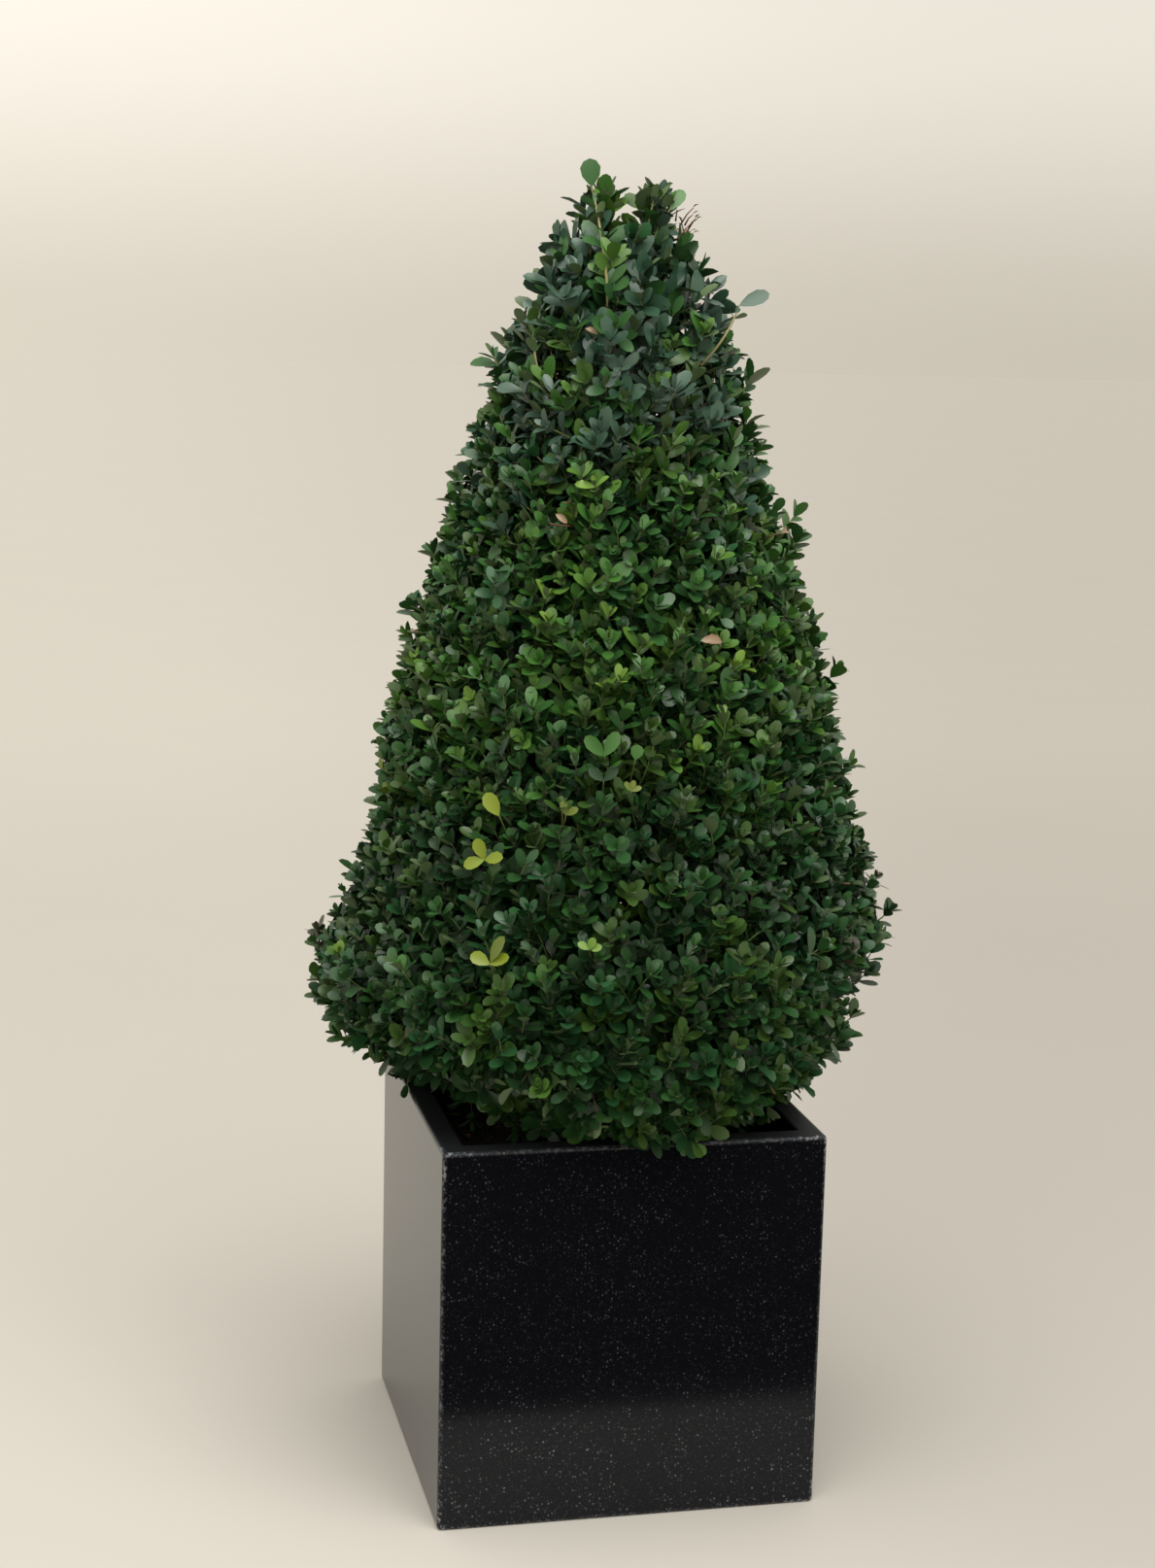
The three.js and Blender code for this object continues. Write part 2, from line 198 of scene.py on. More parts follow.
def smoothLine(controls, count):
    # Points along a centripetal Catmull-Rom curve through the controls.
    spans = len(controls) - 1
    path = [2 * controls[0] - controls[1], *controls, 2 * controls[-1] - controls[-2]]
    points = []
    for step in range(count + 1):
        place = step / count * spans
        span = min(int(place), spans - 1)
        t = place - span
        p0, p1, p2, p3 = path[span:span + 4]
        d0, d1, d2 = (max(1e-4, (b - a).length) ** 0.5 for a, b in ((p0, p1), (p1, p2), (p2, p3)))
        leave = ((p1 - p0) / d0 - (p2 - p0) / (d0 + d1) + (p2 - p1) / d1) * d1
        arrive = ((p2 - p1) / d1 - (p3 - p1) / (d1 + d2) + (p3 - p2) / d2) * d1
        point = p1 * (2 * t ** 3 - 3 * t ** 2 + 1) + leave * (t ** 3 - 2 * t ** 2 + t)
        points.append(point + p2 * (3 * t ** 2 - 2 * t ** 3) + arrive * (t ** 3 - t ** 2))
    return points


def bowLine(start, middle, end, count):
    # Points along a quadratic curve that leaves and arrives by way of its middle control.
    shares = [step / count for step in range(count + 1)]
    return [start * (1 - t) ** 2 + middle * (2 * t * (1 - t)) + end * t ** 2 for t in shares]


def tubeRings(line, radii, sides):
    # Rings of points round a line, turned as little as possible from one to the next.
    rings = []
    side = None
    for index, point in enumerate(line):
        ahead = (line[min(index + 1, len(line) - 1)] - line[max(index - 1, 0)]).normalized()
        if side is None:
            side = ahead.cross(up if abs(ahead.z) < 0.9 else Vector((0, 1, 0)))
        side = (side - ahead * side.dot(ahead)).normalized()
        across = ahead.cross(side)
        for turn in range(sides):
            angle = 2 * pi * turn / sides
            rings.append(point + (side * cos(angle) + across * sin(angle)) * radii[index])
    return rings


def tubeFaces(rings, sides, first=0):
    # Triangles of a tube of rings, closed at both ends.
    faces = []
    for ring in range(rings - 1):
        for turn in range(sides):
            a = first + ring * sides + turn
            b = first + ring * sides + (turn + 1) % sides
            faces.append((a, b, b + sides))
            faces.append((a, b + sides, a + sides))
    last = first + (rings - 1) * sides
    for turn in range(1, sides - 1):
        faces.append((first, first + turn + 1, first + turn))
        faces.append((last, last + turn, last + turn + 1))
    return faces


# The crown's shape: the part's own, with more and deeper hollows, the deepest under the skirt.
crown = {
    "foot": 0.372, "footRadius": 0.190,
    "waist": 0.565, "waistRadius": 0.300,
    "shoulder": 1.170, "shoulderRadius": 0.132,
    "top": 1.345,
}
swellings = table(
    "azimuth height reach wide tall",
    (196, 0.500, 0.016, 34, 0.075),
    (-8, 0.610, 0.012, 26, 0.045),
    (-70, 0.470, 0.012, 40, 0.060),
    (95, 0.540, 0.010, 45, 0.080),
    (-12, 0.440, -0.020, 45, 0.075),
    (228, 0.395, -0.054, 36, 0.052),
    (210, 0.424, -0.056, 30, 0.034),
    (-46, 0.392, -0.055, 24, 0.052),
    (190, 0.398, -0.056, 32, 0.048),
    (168, 0.585, -0.017, 60, 0.035),
    (-12, 0.508, -0.020, 50, 0.032),
    (-12, 0.600, -0.008, 60, 0.030),
    (168, 0.670, -0.022, 50, 0.095),
    (-12, 0.890, 0.014, 60, 0.150),
    (168, 1.240, -0.017, 70, 0.100),
    (168, 0.910, -0.007, 60, 0.060),
)
# The part's packed twigs, cores, tiers of masses and tufts.
twig = {
    "climb": 0.022, "rooting": 0.84, "short": 0.031, "uneven": 0.010,
    "margin": 0.018, "overRim": 0.008,
}
core = {"inset": 0.042, "hollow": 0.45, "seam": 0.0016, "underside": 0.034, "rise": 0.22}
tiers = table(
    "name masses turn low high bough radius twigs seed",
    ("skirt", 5, -18, crown["foot"], 0.650, (0.425, 0.520), 0.008, 10, 18),
    ("middle", 4, 20, 0.650, 0.940, (0.620, 0.765), 0.007, 10, 84),
    ("upper", 3, -35, 0.940, 1.225, (0.950, 1.035), 0.007, 9, 13),
)
tufts = table(
    "name azimuth tip top narrowest",
    ("left", 200, (-0.027, -0.006), 1.380, 0.032),
    ("right", -40, (0.034, -0.019), 1.364, 0.044),
    ("back", 80, (0.006, 0.035), 1.340, 0.040),
)
tuftShape = {
    "floor": 1.234, "stemReach": 0.024, "lowest": 0.016, "crest": 0.070, "twigs": 7, "seed": 64,
}
touch = 0.0003  # how far a stem stays clear of the limb that carries it

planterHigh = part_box("planter")[1]
compostLow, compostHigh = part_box("compost")
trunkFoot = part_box("trunk")[0].z
rim = planterHigh.z
planterHalf = planterHigh.x


def seededRandom(seed):
    # The part's own run of random numbers.
    state = seed

    def draw():
        nonlocal state
        state = (state + 0x6d2b79f5) & 0xffffffff
        mixed = ((state ^ (state >> 15)) * (state | 1)) & 0xffffffff
        mixed ^= (mixed + (mixed ^ (mixed >> 7)) * (mixed | 61)) & 0xffffffff
        return ((mixed ^ (mixed >> 14)) & 0xffffffff) / 4294967296
    return draw


def evenPoint(index, seed):
    # The index-th of a run of points that spread evenly over a unit square.
    plastic = 1.32471795724
    return (seed * 0.37 + index / plastic) % 1, (seed * 0.71 + index / plastic ** 2) % 1


def swell(azimuth, height):
    total = 0
    for lobe in swellings:
        turned = abs(degrees(azimuth) - lobe["azimuth"]) % 360
        turned = min(turned, 360 - turned)
        away = (turned / lobe["wide"]) ** 2 + ((height - lobe["height"]) / lobe["tall"]) ** 2
        total += lobe["reach"] * exp(-away)
    return total


def outline(azimuth, height, inset=0):
    # How far the crown reaches from its axis at a height, taken in by an inset.
    foot, waist, shoulder = crown["foot"], crown["waist"], crown["shoulder"]
    widest, narrow = crown["waistRadius"], crown["shoulderRadius"]
    if height < waist:
        drop = min(1, (waist - height) / (waist - foot - inset))
        radius = widest - (widest - crown["footRadius"]) * (1 - sqrt(1 - drop * drop))
    elif height < shoulder:
        radius = widest + (narrow - widest) * ((height - waist) / (shoulder - waist))
    else:
        share = (height - shoulder) / (crown["top"] - shoulder)
        radius = narrow * max(0, 1 - share ** 1.7) ** 0.6
    return max(0, radius - inset) + swell(azimuth, height)


def coreRadius(azimuth, level):
    return max(outline(azimuth, level, core["inset"]), core["inset"])


def levelRise(radius, level):
    # A level climbs towards the crown's outside, as its twigs do.
    share = min(1, (level - crown["foot"]) / (tiers[0]["high"] - crown["foot"]))
    return core["rise"] * share * (radius - crown["shoulderRadius"])


def onLevel(azimuth, radius, level):
    return onRing(azimuth, radius, level + levelRise(radius, level))


def sector(tier, index):
    width = 2 * pi / tier["masses"]
    return radians(tier["turn"]) + width * index, width


def packedTwigs(tier, index):
    # The base and tip of each packed twig of a mass.
    seed = tier["seed"] + index
    draw = seededRandom(seed)
    low, high, margin = tier["low"], tier["high"], twig["margin"]
    start, width = sector(tier, index)
    coreLow = low + (core["underside"] if low == crown["foot"] else core["seam"])
    coreHigh = high - core["seam"]
    found = []
    for i in range(tier["twigs"]):
        turn, height = evenPoint(i, seed)
        level = low + margin + (high - low - 2 * margin) * height
        edge = margin / outline(0, level)
        azimuth = start + edge + (width - 2 * edge) * turn
        reach = outline(azimuth, level) - twig["short"] - twig["uneven"] * draw()
        rootLevel = min(coreHigh - margin, max(coreLow + margin, level - twig["climb"]))
        root = onLevel(azimuth, coreRadius(azimuth, rootLevel) * twig["rooting"], rootLevel)
        tip = onLevel(azimuth, reach, level)
        if max(abs(tip.x), abs(tip.y)) < planterHalf + twig["overRim"]:
            tip.z = max(tip.z, rim + twig["overRim"])
        found.append((root, tip))
    return found


trunk = {
    "forkHeight": 1.150, "baseRadius": 0.016, "tipRadius": 0.009,
    "flare": 0.010, "flareFade": 0.05, "lean": 0.005,
    "relief": 0.10, "sides": 28, "rings": 240,
}
bough = {"short": 0.015, "relief": 0.10, "sides": 12, "rings": 36}
stem = {"radius": 0.0055, "tipRadius": 0.0030, "length": 0.040}  # a bough's end inside its mass
leader = {
    "spread": 0.005, "radius": 0.0038, "tipRadius": 0.0032,
    "relief": 0.05, "sides": 10, "rings": 24,
}
barkGrain = {"ridges": (260, 60), "lumps": (60, 34)}  # how fine across the limb, and along it


def trunkControls():
    lean, fork = trunk["lean"], trunk["forkHeight"]
    climb = fork - trunkFoot
    return [
        Vector((0, 0, trunkFoot)),
        Vector((0, 0, trunkFoot + 0.030)),
        Vector((-lean, lean * 0.6, trunkFoot + climb * 0.35)),
        Vector((lean * 0.8, -lean * 0.5, trunkFoot + climb * 0.7)),
        Vector((0, 0, fork - 0.020)),
        Vector((0, 0, fork)),
    ]


def boughControls(tier, azimuth):
    low, high = tier["bough"]
    reach = coreRadius(0, high) * core["hollow"] - bough["short"]
    course = ((0, 0), (0.3, 0.2), (0.68, 0.6), (1, 1))  # shares of its reach and of its climb
    return [onRing(azimuth, reach * out, low + (high - low) * share) for out, share in course]


def leaderControls(azimuth):
    start = trunk["forkHeight"] + touch
    climb = tuftShape["floor"] + 0.002 - start
    spread, reach = leader["spread"], tuftShape["stemReach"]
    course = ((spread, 0), (spread, 0.2), (reach - 0.003, 0.7), (reach, 1))
    return [onRing(azimuth, out, start + climb * share) for out, share in course]


def barkLimb(node, slot, controls, radiusAt, limb, material):
    # A limb whose surface is ridged along its length and uneven round it.
    sides, rings = limb["sides"], limb["rings"]
    line = smoothLine(controls, rings)
    points = tubeRings(line, [radiusAt(step / rings) for step in range(rings + 1)], sides)
    (ridges, ridgeRun), (lumps, lumpRun) = barkGrain["ridges"], barkGrain["lumps"]
    for index, point in enumerate(points):
        centre = line[index // sides]
        x, y, z = point
        ridge = noise.noise(Vector((x * ridges, y * ridges, z * ridgeRun)))
        lump = noise.noise(Vector((x * lumps, y * lumps, z * lumpRun + 7)))
        points[index] = centre + (point - centre) * (1 + limb["relief"] * (ridge * 0.6 + lump))
    faces = np.array(tubeFaces(rings + 1, sides))
    standFor(arrayPiece(f"{node}_bark", np.array(points), faces, [material]), slot, node)


def barkFinish():
    bark = Finish("bark")
    place = bark.place()
    fissures = bark.cloud(bark.stretch(place, (1.0, 1.0, 0.22)), 420.0, 5.0, 0.62)
    patches = bark.cloud(place, 38.0, 2.0)
    light = bark.mix(patches, (0.21, 0.165, 0.11, 1), (0.12, 0.10, 0.075, 1))
    colour = bark.mix(bark.ease(fissures, 0.42, 0.62), (0.045, 0.034, 0.024, 1), light)
    normal = bark.bump(fissures, 0.0006)
    return bark.dress({"Base Color": colour, "Roughness": 0.86, "Normal": normal})


def leaderFinish():
    # Bark of a young leader, greenish tan and streaked along.
    bark = Finish("leader")
    streaks = bark.cloud(bark.stretch(bark.place(), (1.0, 1.0, 0.15)), 500.0, 3.0)
    low, high = (0.20, 0.13, 0.035, 1), (0.42, 0.33, 0.11, 1)
    colour = bark.mix(bark.ease(streaks, 0.35, 0.65), low, high)
    return bark.dress({"Base Color": colour, "Roughness": 0.6})


def taper(first, last):
    return lambda share: first + (last - first) * share


def trunkRadius(share):
    even = taper(trunk["baseRadius"], trunk["tipRadius"])(share)
    return even + trunk["flare"] * exp(-share / trunk["flareFade"])


barkMaterial = barkFinish()
leaderMaterial = leaderFinish()
barkLimb("trunk", "bark", trunkControls(), trunkRadius, trunk, barkMaterial)
for tier in tiers:
    for index in range(tier["masses"]):
        start, width = sector(tier, index)
        controls = boughControls(tier, start + width / 2)
        thickness = taper(tier["radius"], stem["radius"])
        node = f"bough_{tier['name']}_{index + 1}"
        barkLimb(node, "bark", controls, thickness, bough, barkMaterial)
for tuft in tufts:
    controls = leaderControls(radians(tuft["azimuth"]))
    thickness = taper(leader["radius"], leader["tipRadius"])
    barkLimb(f"leader_{tuft['name']}", "shoot", controls, thickness, leader, leaderMaterial)
print("stage: limbs barked")

leaf = {
    "length": 0.0220, "width": 0.0124, "variation": 0.16,
    "stations": [0.12, 0.38, 0.68, 0.91],  # shares of the length where it is measured across
    "breadths": [0.36, 0.86, 1.0, 0.63],  # its breadth there, as a share of the widest
    "roughness": 0.40, "topRoughness": 0.34,
}
# Base colours, dealt out by spray. The first six run from old and shaded to young.
leafTones = {
    "deep": (0.013, 0.042, 0.013),
    "dark": (0.018, 0.066, 0.016),
    "mid": (0.026, 0.088, 0.019),
    "fresh": (0.040, 0.122, 0.019),
    "bright": (0.066, 0.150, 0.022),
    "young": (0.135, 0.240, 0.035),
    "under": (0.080, 0.125, 0.052),
    # The next two tones are painted sheen: their grey-blue stands in for the sky's reflection on
    # dark leaves.
    "bluish": (0.030, 0.072, 0.042),
    "slate": (0.050, 0.092, 0.062),
    "leek": (0.020, 0.080, 0.025),
    "moss": (0.038, 0.086, 0.014),
    "bronze": (0.046, 0.048, 0.024),
    "yellow": (0.158, 0.208, 0.010),
    "olive": (0.100, 0.138, 0.014),
    "tan": (0.220, 0.145, 0.085),
}
toneIndex = {name: place for place, name in enumerate(leafTones)}
leafMaterials = []
for name, colour in leafTones.items():
    roughness = leaf["topRoughness" if name in ("slate", "bluish") else "roughness"]
    leafMaterials.append(plainFinish(f"leaf_{name}", colour, roughness, IOR=1.48))
twigMaterials = [
    plainFinish("twig_old", (0.085, 0.062, 0.038), 0.85),
    plainFinish("twig_green", (0.11, 0.14, 0.035), 0.6),
    plainFinish("twig_straw", (0.19, 0.175, 0.065), 0.6),
    plainFinish("twig_russet", (0.14, 0.065, 0.035), 0.65),
]
oldTwig, greenTwig, strawTwig, russetTwig = range(4)
shootTwigs = [
    [greenTwig, greenTwig, greenTwig, oldTwig],  # on the crown's side
    [greenTwig, strawTwig, strawTwig, oldTwig],  # and near its top
]
twigSizes = {  # radius at the foot and at the tip, and how many sides
    "stem": (stem["radius"], stem["tipRadius"], 6),
    "branch": (0.0028, 0.0013, 4), "twig": (0.0016, 0.0010, 3), "shoot": (0.0010, 0.0006, 3),
    "odd": (0.0013, 0.0008, 3), "fan": (0.0010, 0.0007, 3), "bare": (0.0016, 0.0009, 3),
    "stalk": (0.0009, 0.0007, 3), "basal": (0.0012, 0.0007, 3),
    "tuftStem": (0.0028, 0.0013, 6), "tuftTwig": (0.0018, 0.0009, 4), "spire": (0.0015, 0.0009, 4),
    "dry": (0.0012, 0.0006, 3),
}


def leafTemplate():
    # One leaf flat on x (side) and y (along): stalk end, three points at each station, tip.
    rows = [(0.0, 0.0)]
    for station, breadth in zip(leaf["stations"], leaf["breadths"]):
        rows.extend([(-breadth, station), (0.0, station), (breadth, station)])
    rows.append((0.0, 1.0))
    count = len(leaf["stations"])
    faces = [(0, 2, 1), (0, 3, 2)]
    for step in range(count - 1):
        a = 1 + step * 3
        for side in (a, a + 1):
            faces.append((side, side + 1, side + 4))
            faces.append((side, side + 4, side + 3))
    last = 1 + (count - 1) * 3
    tip = last + 3
    faces.extend([(last, last + 1, tip), (last + 1, last + 2, tip)])
    return np.array(rows), np.array(faces)


leafRows, leafFaces = leafTemplate()


class Wood:
    # Twigs gathered for one joined mesh.
    def __init__(self):
        self.points = []
        self.faces = []
        self.tones = []

    def add(self, line, size, tone):
        radius, tipRadius, sides = twigSizes.get(size, size)
        steps = len(line) - 1
        radii = [radius + (tipRadius - radius) * step / steps for step in range(steps + 1)]
        faces = tubeFaces(len(line), sides, len(self.points))
        self.points.extend(tubeRings(line, radii, sides))
        self.faces.extend(faces)
        self.tones.extend([tone] * len(faces))

    def piece(self, name):
        points, faces = np.array(self.points), np.array(self.faces)
        return arrayPiece(name, points, faces, twigMaterials, tones=self.tones)


class Leaves:
    # Leaves gathered for one joined mesh.
    def __init__(self):
        self.rows = []
        self.tones = []

    def add(self, root, blade, facing, length, width, cup, curl, tone):
        self.rows.append((*root, *blade, *facing, length, width, cup, curl))
        self.tones.append(tone)

    def piece(self, name):
        rows = np.array(self.rows)
        root, blade, facing = rows[:, None, 0:3], rows[:, None, 3:6], rows[:, None, 6:9]
        length, width, cup, curl = (rows[:, 9 + place, None] for place in range(4))
        side = np.cross(blade, facing)
        across, along = leafRows[:, 0], leafRows[:, 1]
        sideways = (across * width / 2)[..., None]
        lift = (np.abs(across) ** 1.5 * cup * width - curl * along ** 2 * length)[..., None]
        forward = (along * length)[..., None]
        points = root + blade * forward + side * sideways + facing * lift
        offsets = np.arange(len(rows))[:, None, None] * len(leafRows)
        faces = (leafFaces[None] + offsets).reshape(-1, 3)
        tones = np.repeat(self.tones, len(leafFaces))
        return arrayPiece(name, points.reshape(-1, 3), faces, leafMaterials, tones=tones)


def squared(facing, blade):
    # The part of facing that stands square to the blade, at unit length.
    return (facing - blade * facing.dot(blade)).normalized()


def anyTone(rng, *names):
    return toneIndex[rng.choice(names)]


def inStone(point):
    # True inside the planter's wall or the compost, with a little room.
    far = max(abs(point.x), abs(point.y))
    wall = planterHalf - compostHigh.x
    if point.z > rim + 0.001 or far > planterHalf + 0.001:
        return False
    return far > planterHalf - wall - 0.002 or point.z < compostHigh.z


pairs = {  # of leaves, in order back from a shoot's tip
    "first": 0.0012,  # from the tip to the first pair
    "gaps": (0.0026, 0.0050), "internode": 0.0092,  # to the next two pairs, and to all others
    "growth": (0.55, 0.80, 0.95, 1.0), "wildGrowth": (0.74, 0.94, 1.0, 1.0),
    "spread": (24, 42, 54, 62),  # degrees off the shoot
    "unevenSpread": 7, "unevenTurn": 0.16,  # in degrees and in radians
    "smallest": 0.42, "largest": 1.35,  # shares of the usual size
    "lost": 0.05,  # share of leaves that fell
    "showUnder": 0.7,  # share of the turned leaves that show their pale underside
}
shoot = {
    "spacing": 0.0225,  # between the tips of neighbouring shoots
    "leafy": 0.062,  # how much of a shoot's end carries leaves
    "uneven": 0.013,
    "reach": 0.011,  # how far a tip's own leaves reach past it
    "stray": 0.08,  # share of shoots that outgrew the last clipping
    "strayReach": 0.018,  # how far, at most, they stand out
    "missing": 0.30,  # share of the top's shoots that the crown lacks, so that it is more open
    "length": (0.060, 0.085),  # back to where it looks for a fork
    "lean": (0.66, 0.80, 0.30, 0.25),  # outward, upward, and how unevenly to the side and upward
    "strawFrom": 1.08,  # the level from which more twigs are straw-coloured
    "fresher": 0.6,  # share of shoots whose tip is a tone fresher
    "openFrom": 1.0, "openOver": 0.2,  # the levels over which the top grows open
    "largerLeaves": 0.22, "wider": 0.25,  # how much larger and further apart its leaves are
}
behind = {  # twigs behind the outer shoots: how far within the outline they end, their lean
    # upward, and how far back along it they look for a fork
    "twigInset": (0.045, 0.070), "twigLean": 0.5, "twigBack": 0.085,
    "inner": 0.50,  # old leafy twigs, for each outer shoot
    "innerLow": 0.445, "innerTop": 1.12,
    "innerInset": (0.046, 0.076), "innerLean": 0.4, "innerBack": 0.05,
    "basal": 18,  # shoots of each lowest mass that hang within the planter's rim
    "basalReach": (0.100, 0.205), "basalHeight": (0.380, 0.410),
}


class Growth:
    # One mass under way: its twigs, its leaves and the places where a shoot can fork off.
    leafCount = 0
    triangles = 0

    def __init__(self, seed):
        self.rng = random.Random(seed * 1009)
        self.wood = Wood()
        self.leaves = Leaves()

    def forkFrom(self, places):
        self.forks = places
        self.forkArray = np.array(places)

    def near(self, point):
        away = self.forkArray - np.array(point)
        return self.forks[int(np.argmin((away * away).sum(1)))]

    def bowTo(self, point, lean, back, bend, count):
        # A line from the fork nearest to a place back along the lean. It arrives along the lean.
        fork = self.near(point - lean * back)
        return bowLine(fork, point - lean * (point - fork).length * bend, point, count)

    def clothe(
            self, line, tone, size=1.0, leafy=shoot["leafy"], tipTone=None, sparse=1.0, wild=1.0,
            outward=None):
        # Opposite pairs of leaves back from a shoot's tip, each pair turned across the last. A
        # wild shoot's leaves are less orderly and show their faces more. Leaves turn outward from
        # the crown's axis unless told otherwise.
        rng = self.rng
        steps = [(line[i + 1] - line[i]).length for i in range(len(line) - 1)]
        total = sum(steps)
        back = pairs["first"]
        roll = rng.uniform(0, pi)
        node = 0
        outward = outward or Vector((line[-1].x, line[-1].y, 0)).normalized()
        toSky, toSide = rng.uniform(0.0, 0.65), rng.uniform(-0.1, 0.3) + 0.35 * (wild - 1)
        while back < min(leafy, total * 0.92):
            left = total - back
            index = 0
            while index < len(steps) - 1 and left > steps[index]:
                left -= steps[index]
                index += 1
            ahead = (line[index + 1] - line[index]).normalized()
            joint = line[index] + ahead * left
            first = ahead.cross(up if abs(ahead.z) < 0.95 else Vector((1, 0, 0))).normalized()
            second = ahead.cross(first)
            rank = min(node, 3)
            growth = pairs["wildGrowth" if wild > 2 else "growth"][rank]
            spread = radians(pairs["spread"][rank] + rng.gauss(0, pairs["unevenSpread"]) * wild)
            for half in (0, pi):
                if node > 1 and rng.random() < pairs["lost"]:
                    continue
                angle = roll + half + rng.gauss(0, pairs["unevenTurn"]) * wild
                out = first * cos(angle) + second * sin(angle)
                blade = ahead * cos(spread) + out * sin(spread)
                blade = blade + up * rng.gauss(0.20, 0.12) + outward * rng.gauss(0.04, 0.10)
                blade = blade.normalized()
                facing = ahead * sin(spread) - out * cos(spread)
                facing = facing + up * (toSky + rng.gauss(0, 0.15) * wild)
                facing = facing + outward * (toSide + rng.gauss(0, 0.12) * wild)
                facing = squared(facing, blade)
                scale = size * growth * (1 + rng.gauss(0, leaf["variation"]))
                scale = min(size * pairs["largest"], max(size * pairs["smallest"], scale))
                length = leaf["length"] * scale
                slim = 0.86 if node == 0 else 1  # a tip's leaves are still narrow
                width = leaf["width"] * scale * rng.uniform(0.88, 1.14) * slim
                width *= 1 - 0.14 * (wild - 1)
                if inStone(joint + blade * length) or inStone(joint + blade * length * 0.5):
                    continue
                shade = tone
                if facing.dot(outward) < -0.2 and rng.random() < pairs["showUnder"]:
                    shade = toneIndex["under"]
                elif node <= 1 and tipTone is not None:
                    shade = tipTone
                elif node >= 4 and 0 < tone < 5:
                    shade = tone - 1
                cup, curl = rng.uniform(0.02, 0.24), rng.uniform(-0.03, 0.12) * wild
                self.leaves.add(joint, blade, facing, length, width, cup, curl, shade)
            roll += pi / 2 + rng.gauss(0, 0.12)
            if node < len(pairs["gaps"]):
                gap = pairs["gaps"][node]
            else:
                gap = pairs["internode"] * rng.uniform(0.8, 1.25)
            back += gap * sparse
            node += 1

    def grow(self, line, size, twigTone, tone, *look, **more):
        # A twig and the leaves along it.
        self.wood.add(line, size, twigTone)
        self.clothe(line, tone, *look, **more)

    def stand(self, label, slot, node):
        # The twigs and the leaves as two pieces, in place of the node.
        standFor(self.wood.piece(f"twigs_{label}"), slot, node)
        standFor(self.leaves.piece(f"leaves_{label}"), slot, node)
        Growth.leafCount += len(self.leaves.rows)
        Growth.triangles += len(self.leaves.rows) * len(leafFaces) + len(self.wood.faces)


def surfacePoint(azimuth, level, inset=0.0):
    # A point of the crown's outline at a level, and the way it faces.
    radius = outline(azimuth, level)
    above, below = outline(azimuth, level + 0.004), outline(azimuth, level - 0.004)
    slope = max(-3.0, min(3.0, (above - below) / 0.008))
    normal = onRing(azimuth, 1, -slope).normalized()
    return onLevel(azimuth, radius, level) - normal * inset, normal


def clearPoint(azimuth, level, inset):
    # The same, lifted if it would stand in the planter's wall or hang far below its rim.
    point, normal = surfacePoint(azimuth, level, inset)
    if max(abs(point.x), abs(point.y)) < planterHalf + 2 * twig["overRim"]:
        point.z = max(point.z, rim + 2 * twig["overRim"])
    point.z = max(point.z, rim + 0.006)
    return point, normal


def levelAt(azimuth, height):
    # The level whose outline point stands at a height.
    level = height
    for _ in range(5):
        level = height - levelRise(outline(azimuth, level), level)
    return level


def profileLevels(tier):
    # Levels up the tier, and the area of the outline below each for one radian.
    levels = np.linspace(tier["low"] + 0.001, tier["high"], 200)
    radii = np.array([outline(0.8, level) for level in levels])
    slant = np.hypot(np.diff(levels), np.diff(radii))
    area = np.concatenate([[0], np.cumsum(slant * (radii[1:] + radii[:-1]) / 2)])
    return levels, area


def toneAt(point, rng):
    # Which tone a spray takes at its place: fresher round the middle, with painted sheen tones and
    # painted light at the top, painted shade low down and painted light at the skirt's edge.
    patch = noise.noise(point * 9.0) + 0.6 * noise.noise(point * 23.0 + Vector((3, 5, 7)))
    height = point.z
    fresh = exp(-((height - 0.93) / 0.18) ** 2)
    value = 1.45 + patch * 1.1 + fresh * 1.1 + rng.gauss(0, 0.80)
    value -= 1.00 * rise(height, 0.84, -0.14)  # darker below: painted shade
    if height < 0.47:
        value += 1.05  # the skirt's edge catches light
    top = rise(height, 0.99, 0.24)
    # Painted sheen: many of the top's sprays take the two grey-blue sheen tones.
    if rng.random() < top * 0.66:
        return toneIndex["slate"] if rng.random() < 0.5 else toneIndex["bluish"]
    # Painted light: the top's other sprays are made lighter.
    value += 0.60 * top
    if rng.random() < 0.26:
        return toneIndex["leek"] if rng.random() < 0.5 else toneIndex["moss"]
    if rng.random() < (0.030 if height > 1.1 else 0.006):
        return toneIndex["bronze"]
    return int(max(0, min(4, round(value))))


